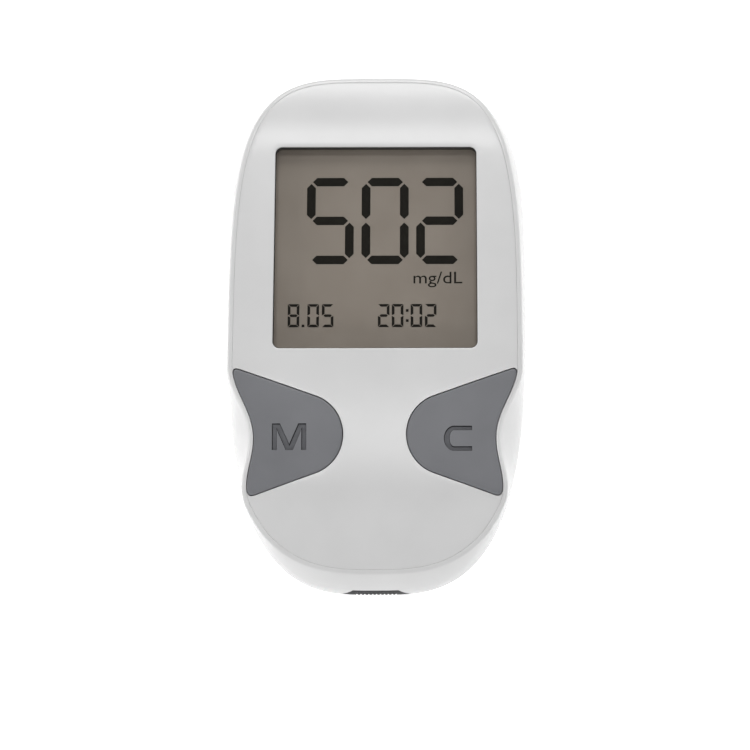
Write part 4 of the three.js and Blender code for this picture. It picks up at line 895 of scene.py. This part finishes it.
def battery_door():
    """Sliding door: plate with side tongues, a snap nose, reliefs under the cells and grip ribs."""
    door = build("battery_door_slide_lid", [back_form()])
    plate_room, *rest = door_room(0)
    room = carve(build("room", [plate_room]), rest, "UNION")
    carve(door, [room], "INTERSECT")
    carve(door, [
        box(x - half, x + half, DOOR_LOW + low, DOOR_INNER, 1.7, 6)
        for x, half, low in ((0, 11.5, 1.3), (-CELL_X, 3.1, -4.7), (CELL_X, 3.1, -4.7))
    ])
    bars = [rounded(0, -6.055 + 1.6 * i, 13.0, 0.7, 0.34, 8) for i in range(6)]
    levels = [(0.1, -0.2), (0.15, -0.06), (0.28, 0), (0.9, 0)]
    carve(door, [column(bar, levels) for bar in bars], "UNION")
    arrow = np.array([[-2.2, 7.0], [2.2, 7.0], [0, 10.4]])
    return soften(carve(door, [column(arrow, [(0, 0), (0.75, 0)])]), 30)


def turned(profile, count=48):
    """Surface of revolution about Z: profile of (radius, height) turned in count steps."""
    ring = circle(0, 0, 1, count)
    return np.stack([at_height(ring * max(radius, 1e-3), z) for radius, z in profile])


def lying(profile, x, y, sign, count):
    """Surface of revolution laid along Y from (x, y) at the cells' height, towards sign."""
    across, up, along = np.moveaxis(turned(profile, count), -1, 0)
    return loft(np.stack([-sign * across, sign * along, up], axis=-1) + [x, y, CELL_Z])


def key_dome(name, side):
    """Silicone dome: a closed profile turned about the plunger's axis, from the roof's underside
    down the cavity, under the foot and up the cone, whose web sags by a sine, to a dished top."""
    t = np.linspace(0, 1, 9)
    sag = np.sin(np.pi * t)
    cavity = np.stack([2.15 + 1.2 * t, 2.4 - 1.75 * t - 0.1 * sag], axis=1)
    cone = np.stack([4.1 - 1.3 * t, 0.66 + 1.85 * t - 0.14 * sag], axis=1)
    profile = np.concatenate([
        [(0.02, 2.5), (1.3, 2.5), (2.0, 2.48)], cavity,
        [(3.4, 0.5), (3.4, 0.05), (3.45, 0), (4.95, 0), (5, 0.05), (5, 0.5), (4.9, 0.6)],
        [(4.4, 0.6)], cone, [(2.7, 2.7), (2.69, 2.95), (2.55, 3.08), (2.4, DOME_HEIGHT)],
        [(1.7, DOME_HEIGHT), (1.55, 3.02), (0.02, 3.02)],
    ])
    rings = turned(profile) + [side * PLUNGER_X, KEY_Y, BOARD_TOP]
    return build(name, [loft(rings)], [dome_silicone], 30)


def screw(name, x, y, seat, length):
    """Pan-head screw on its head: a dome with a cross recess, pressed in as a smooth dip along two
    crossed bars, over a shank whose helical thread is a sine of height and angle."""
    head, shank, depth, pitch = 1.9, 0.72, 0.08, 0.8
    unit = circle(0, 0, 1, 72)
    angle = np.arange(72) * 2 * np.pi / 72
    rings = []
    for share in np.linspace(0.02, 1, 22):
        ring = unit * head * share
        bar, reach = np.sort(np.abs(ring), axis=1).T
        dip = 0.75 * np.clip((0.26 - bar) / 0.1, 0, 1) * np.clip((1.15 - reach) / 0.18, 0, 1)
        rings.append(np.column_stack([ring, dip - (1.4 - 0.84 * share ** 4)]))
    rings.append(at_height(unit * head, 0))
    for z in np.linspace(0, length - 0.9, 60):
        radius = shank + depth * np.sin(angle - z * 2 * math.pi / pitch) * min(1, z)
        rings.append(at_height(unit * radius[:, None], z))
    rings.append(at_height(unit * 0.1, length))
    return build(name, [loft(np.array(rings) + [x, y, seat])], [screw_zinc], 30)


def cell(name, x, start, sign):
    """AAA cell along Y: rolled crimps, a nub at one end and a dished cap at the other. The sleeve
    starts at the tenth point of the profile with a dark band, and bare metal has the rest."""
    r, around = CELL_RADIUS, 72
    profile = [
        (0.001, 0.12), (2.9, 0.12), (3.2, 0.02), (4.3, 0), (4.55, 0.15), (4.75, 0.15),
        (5.0, 0.03), (5.19, 0.12), (r, 0.35), (r, 1.4), (r, 12.5), (r, 12.55), (r, 42.4),
        (r, 43.3), (5.15, 43.55), (4.9, 43.65), (4.6, 43.5), (2.6, 43.45), (2.4, 43.6),
        (1.9, 43.75), (1.88, 44.3), (1.75, 44.47), (0.001, 44.5),
    ]
    film, band, bare = 0, 1, 2
    finish_of = {9: band, 10: film, 11: film, 12: film}
    kinds = [finish_of.get(step, bare) for step in range(len(profile) - 1) for _ in range(around)]
    kinds += [bare, bare]
    points, faces = lying(profile, x, start, sign, around)
    shells = [(points, [face for face, own in zip(faces, kinds) if own == kind], kind)
              for kind in (film, band, bare)]
    return build(name, shells, [cell_film, cell_band, can_nickel], 30)


def wire(path, radius, count=12):
    """Tube round a path: at each point a circle in the plane square to the path's direction."""
    ahead = np.gradient(path, axis=0)
    ahead /= np.linalg.norm(ahead, axis=1, keepdims=True)
    side = np.cross(ahead, [0.0, 1.0, 0.0])
    side /= np.linalg.norm(side, axis=1, keepdims=True)
    over = np.cross(side, ahead)
    across, up = circle(0, 0, radius, count).T[..., None]
    return loft(path[:, None] + across * side[:, None] + up * over[:, None])


def coil(x, y, sign):
    """Conical spring: radius falls from 3.2 to 2 mm over three turns while y goes on by 4.45 mm."""
    t = np.linspace(0, 1, 150)
    radius, angle = 3.2 - 1.2 * t, t * 6 * np.pi
    across, up = x + radius * np.cos(angle), CELL_Z + radius * np.sin(angle)
    return wire(np.stack([across, y + sign * t * 4.45, up], axis=1), 0.24)


def plate(x0, x1, y):
    """Contact plate: a rounded rectangle in the XZ plane, 0.4 mm thick."""
    shape = rounded((x0 + x1) / 2, CELL_Z, x1 - x0, 8.0, 1.0, 6)
    return loft([upright(shape, y + PLATE_THICK), upright(shape, y)])


def bump(x, y, sign):
    """Pressed dome on a contact plate."""
    return lying([(2.4, 0), (2.3, 0.12), (1.9, 0.4), (1.2, 0.49), (0.001, 0.5)], x, y, sign, 32)


# Pieces and the bodies that they ride on
housing = carve(front_housing(), [port_prism(PORT_GAP, CASE_END - 3, PORT_REACH)])
place(soften(housing, 38), "white_plastic", "front_cover")
place(face_panel(), "white_plastic", "face_panel")
place(port_insert(), "dark_plastic", "port_bezel")
key_m, key_c = key_cap("memory_key_cap", -1, letter_m()), key_cap("code_key_cap", 1, letter_c())
place(key_m, "key_plastic", "memory_key", body="memory_key_body")
place(key_c, "key_plastic", "code_key", body="code_key_body")
for key_name, side in (("memory_key", -1), ("code_key", 1)):
    dome = place(key_dome(f"{key_name}_dome_moulded", side), "silicone", f"{key_name}_dome")
    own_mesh(dome)
place(display_bars(), "display_glass")
place(display_unit(), "display_glass")
place(window_liner(), "elastomer")
place(back_cover(), "white_plastic", "rear_cover")
place(battery_door(), "white_plastic", "battery_door", body="battery_door_body")
# Screws: their places, the height of the head's seat and the length of the shank
SCREWS = {"case": (CASE_SCREWS, 4.3, 8.5), "board": ([(0, -15.505), (0, -30.025)], 13.6, 3.4)}
for kind, (spots, seat, length) in SCREWS.items():
    for number, spot in enumerate(spots, 1):
        piece = screw(f"{kind}_screw_{number}_cross_head", *spot, seat, length)
        place(piece, "screw_steel", f"{kind}_screw_{number}")
left_cell = cell("cell_left_sleeved", -CELL_X, BAY_LOW + SPRING_ROOM, 1)
place(left_cell, "cell_sleeve", "battery_cell_left")
right_cell = cell("cell_right_sleeved", CELL_X, BAY_HIGH - SPRING_ROOM, -1)
place(right_cell, "cell_sleeve", "battery_cell_right")
low_face, high_face = BAY_LOW + PLATE_ROOM, BAY_HIGH - PLATE_ROOM
CONTACTS = {
    "bridge_contact_sprung": [
        plate(-10.15, 10.15, low_face - PLATE_THICK), coil(-CELL_X, low_face, 1),
        bump(CELL_X, low_face, 1),
    ],
    "negative_contact_sprung": [plate(1.55, 10.15, high_face), coil(CELL_X, high_face, -1)],
    "positive_contact_pressed": [plate(-10.15, -1.55, high_face), bump(-CELL_X, high_face, -1)],
}
for name, shells in CONTACTS.items():
    place(build(name, shells, [spring_nickel], 35), "spring_steel", name.rsplit("_", 1)[0])

# Nodes whose shape is right keep it and get their finish
FINISHES = {
    "display_window": lens_pmma, "lcd_front_glass": cell_polarizer,
    "lcd_rear_glass": cell_polarizer, "lcd_frame": holder_nylon, "zebra_strip": zebra_rubber,
    "main_board": board_mask, "memory_key_pill": carbon_pill, "code_key_pill": carbon_pill,
    "microcontroller": chip_epoxy, "buzzer": chip_epoxy, "crystal_can": can_nickel,
    "strip_connector": socket_lcp, "strip_contact_1": contact_gold,
    "strip_contact_2": contact_gold, "strip_contact_3": contact_gold,
}
for node_name, material in FINISHES.items():
    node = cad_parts[node_name]
    node.data.materials.clear()
    node.data.materials.append(material)

# Table, lamps and camera
# Share of white that the table glows with: less beside the meter, whose shadow shows there, than
# from 0.6 m on, where the lamps no longer reach
GLOW_BESIDE, GLOW_FAR = 0.55, 1.0


def table():
    """White paper, 4 m wide. To camera, metal and glass part of its white is a glow, so the
    lamps leave it white and the meter's shadow only tints it. The glow grows with the distance."""
    material = new_material("table_white_paper")
    paper = add(material, "BsdfDiffuse", {
        "Color": add(material, "ValToRGB", {"Fac": noise(material, 12.0, 2)},
                     stops=[(0.3, "#f4f4f4"), (0.7, "#f6f6f6")]),
    })
    spot = add(material, "TexCoord").outputs["Object"]
    away = add(material, "VectorMath", {0: spot}, operation="LENGTH")
    share = add(material, "MapRange", {
        "Value": away.outputs["Value"], "From Min": 0.2, "From Max": 0.6,
        "To Min": GLOW_BESIDE, "To Max": GLOW_FAR,
    }, interpolation_type="SMOOTHSTEP")
    seen = ray_is(material, "Camera", "Glossy", "Transmission")
    shown = add(material, "Math", {0: seen, 1: share}, operation="MULTIPLY")
    glow = add(material, "Emission", {"Color": (1, 1, 1, 1), "Strength": shown})
    total = add(material, "AddShader", {0: paper, 1: glow})
    add(material, "OutputMaterial", {"Surface": total})
    mesh = bpy.data.meshes.new("table")
    mesh.from_pydata([(-2, -2, 0), (2, -2, 0), (2, 2, 0), (-2, 2, 0)], [], [(0, 1, 2, 3)])
    mesh.materials.append(material)
    put("table", mesh)


def softbox(name, centre, target, width, height, power, mirrored=True):
    """Rectangular lamp at a place in metres, aimed at a target. Where it isn't mirrored, gloss
    shows the white walls instead of it."""
    lamp = bpy.data.lights.new(name, "AREA")
    lamp.shape = "RECTANGLE"
    lamp.size, lamp.size_y, lamp.energy = width, height, power
    piece = put(name, lamp)
    piece.visible_camera = False
    piece.visible_glossy = mirrored
    piece.location = centre
    aim = Vector(target) - Vector(centre)
    piece.rotation_euler = aim.to_track_quat("-Z", "Y").to_euler()


table()
# A row of strips hangs 0.6 m over the meter, each a place along Y, a depth and a power
STRIPS = [(-0.08, 0.05, 0.25), (-0.02, 0.06, 0.3), (0.05, 0.06, 0.125), (0.3, 0.1, 0.84),
          (0.7, 0.2, 1.64)]
for number, (strip_y, depth, power) in enumerate(STRIPS, 1):
    softbox(f"softbox_strip_{number}", (0, strip_y, 0.6), (0, strip_y * 0.3, 0), 0.4, depth, power)
# Wide softboxes stand low round it, each a place and a power
BOXES = {
    "far": (0, 0.6, 0.2, 1.05), "far_right": (0.45, 0.45, 0.2, 0.95), "right": (0.6, 0, 0.14, 1.6),
    "near": (0, -0.6, 0.2, 2.55), "left": (-0.6, 0, 0.14, 2.85),
}
for side, (*centre, power) in BOXES.items():
    softbox(f"softbox_{side}", centre, (0, 0, 0.01), 1.1, 0.36, power, mirrored=False)

# The world lights nothing. The camera sees it white, and metal and glass see white walls that end
# 12 to 30 degrees above the table, under a dark ceiling
world = bpy.data.worlds.new("studio_white")
bpy.context.scene.world = world
world.use_nodes = True
skyward = add(world, "TexCoord").outputs["Generated"]
wall = add(world, "MapRange", {
    "Value": add(world, "SeparateXYZ", {"Vector": skyward}).outputs["Z"],
    "From Min": 0.2, "From Max": 0.5, "To Min": 1.0, "To Max": 0.0,
})
mirrored = ray_is(world, "Glossy", "Transmission")
mirrored = add(world, "Math", {0: mirrored, 1: wall}, operation="MULTIPLY")
seen_white = add(world, "Math", {0: mirrored, 1: ray_is(world, "Camera")},
                 operation="MAXIMUM")
world_light = world.node_tree.nodes["Background"]
world_light.inputs["Color"].default_value = (1, 1, 1, 1)
world.node_tree.links.new(seen_white.outputs[0], world_light.inputs["Strength"])

# Camera of the photograph: focal length in pixels, the optical axis 59.8 pixels right of the
# frame's middle, tilted back from straight down by 10.28 degrees
FRAME, FOCAL, AXIS_X, TILT, ROLL = 750, 1591.67, 434.77, 0.17949, -0.0020
back = np.array([0.0, -math.sin(TILT), math.cos(TILT)])
right = np.array([1.0, 0.0, 0.0])
up = np.cross(back, right)
right, up = (right * math.cos(ROLL) + up * math.sin(ROLL),
             up * math.cos(ROLL) - right * math.sin(ROLL))
camera = put("camera", bpy.data.cameras.new("camera"))
camera.data.sensor_width = 36
camera.data.lens = 36 * FOCAL / FRAME
camera.data.shift_x = (FRAME / 2 - AXIS_X) / FRAME
camera.data.clip_start = 0.01
turn_to = np.eye(4)
turn_to[:3] = np.stack([right, up, back, np.array([10.469, -58.794, 295.366]) / 1000], axis=1)
camera.matrix_world = Matrix(turn_to.tolist())
bpy.context.scene.camera = camera
bpy.context.scene.view_settings.view_transform = "Standard"
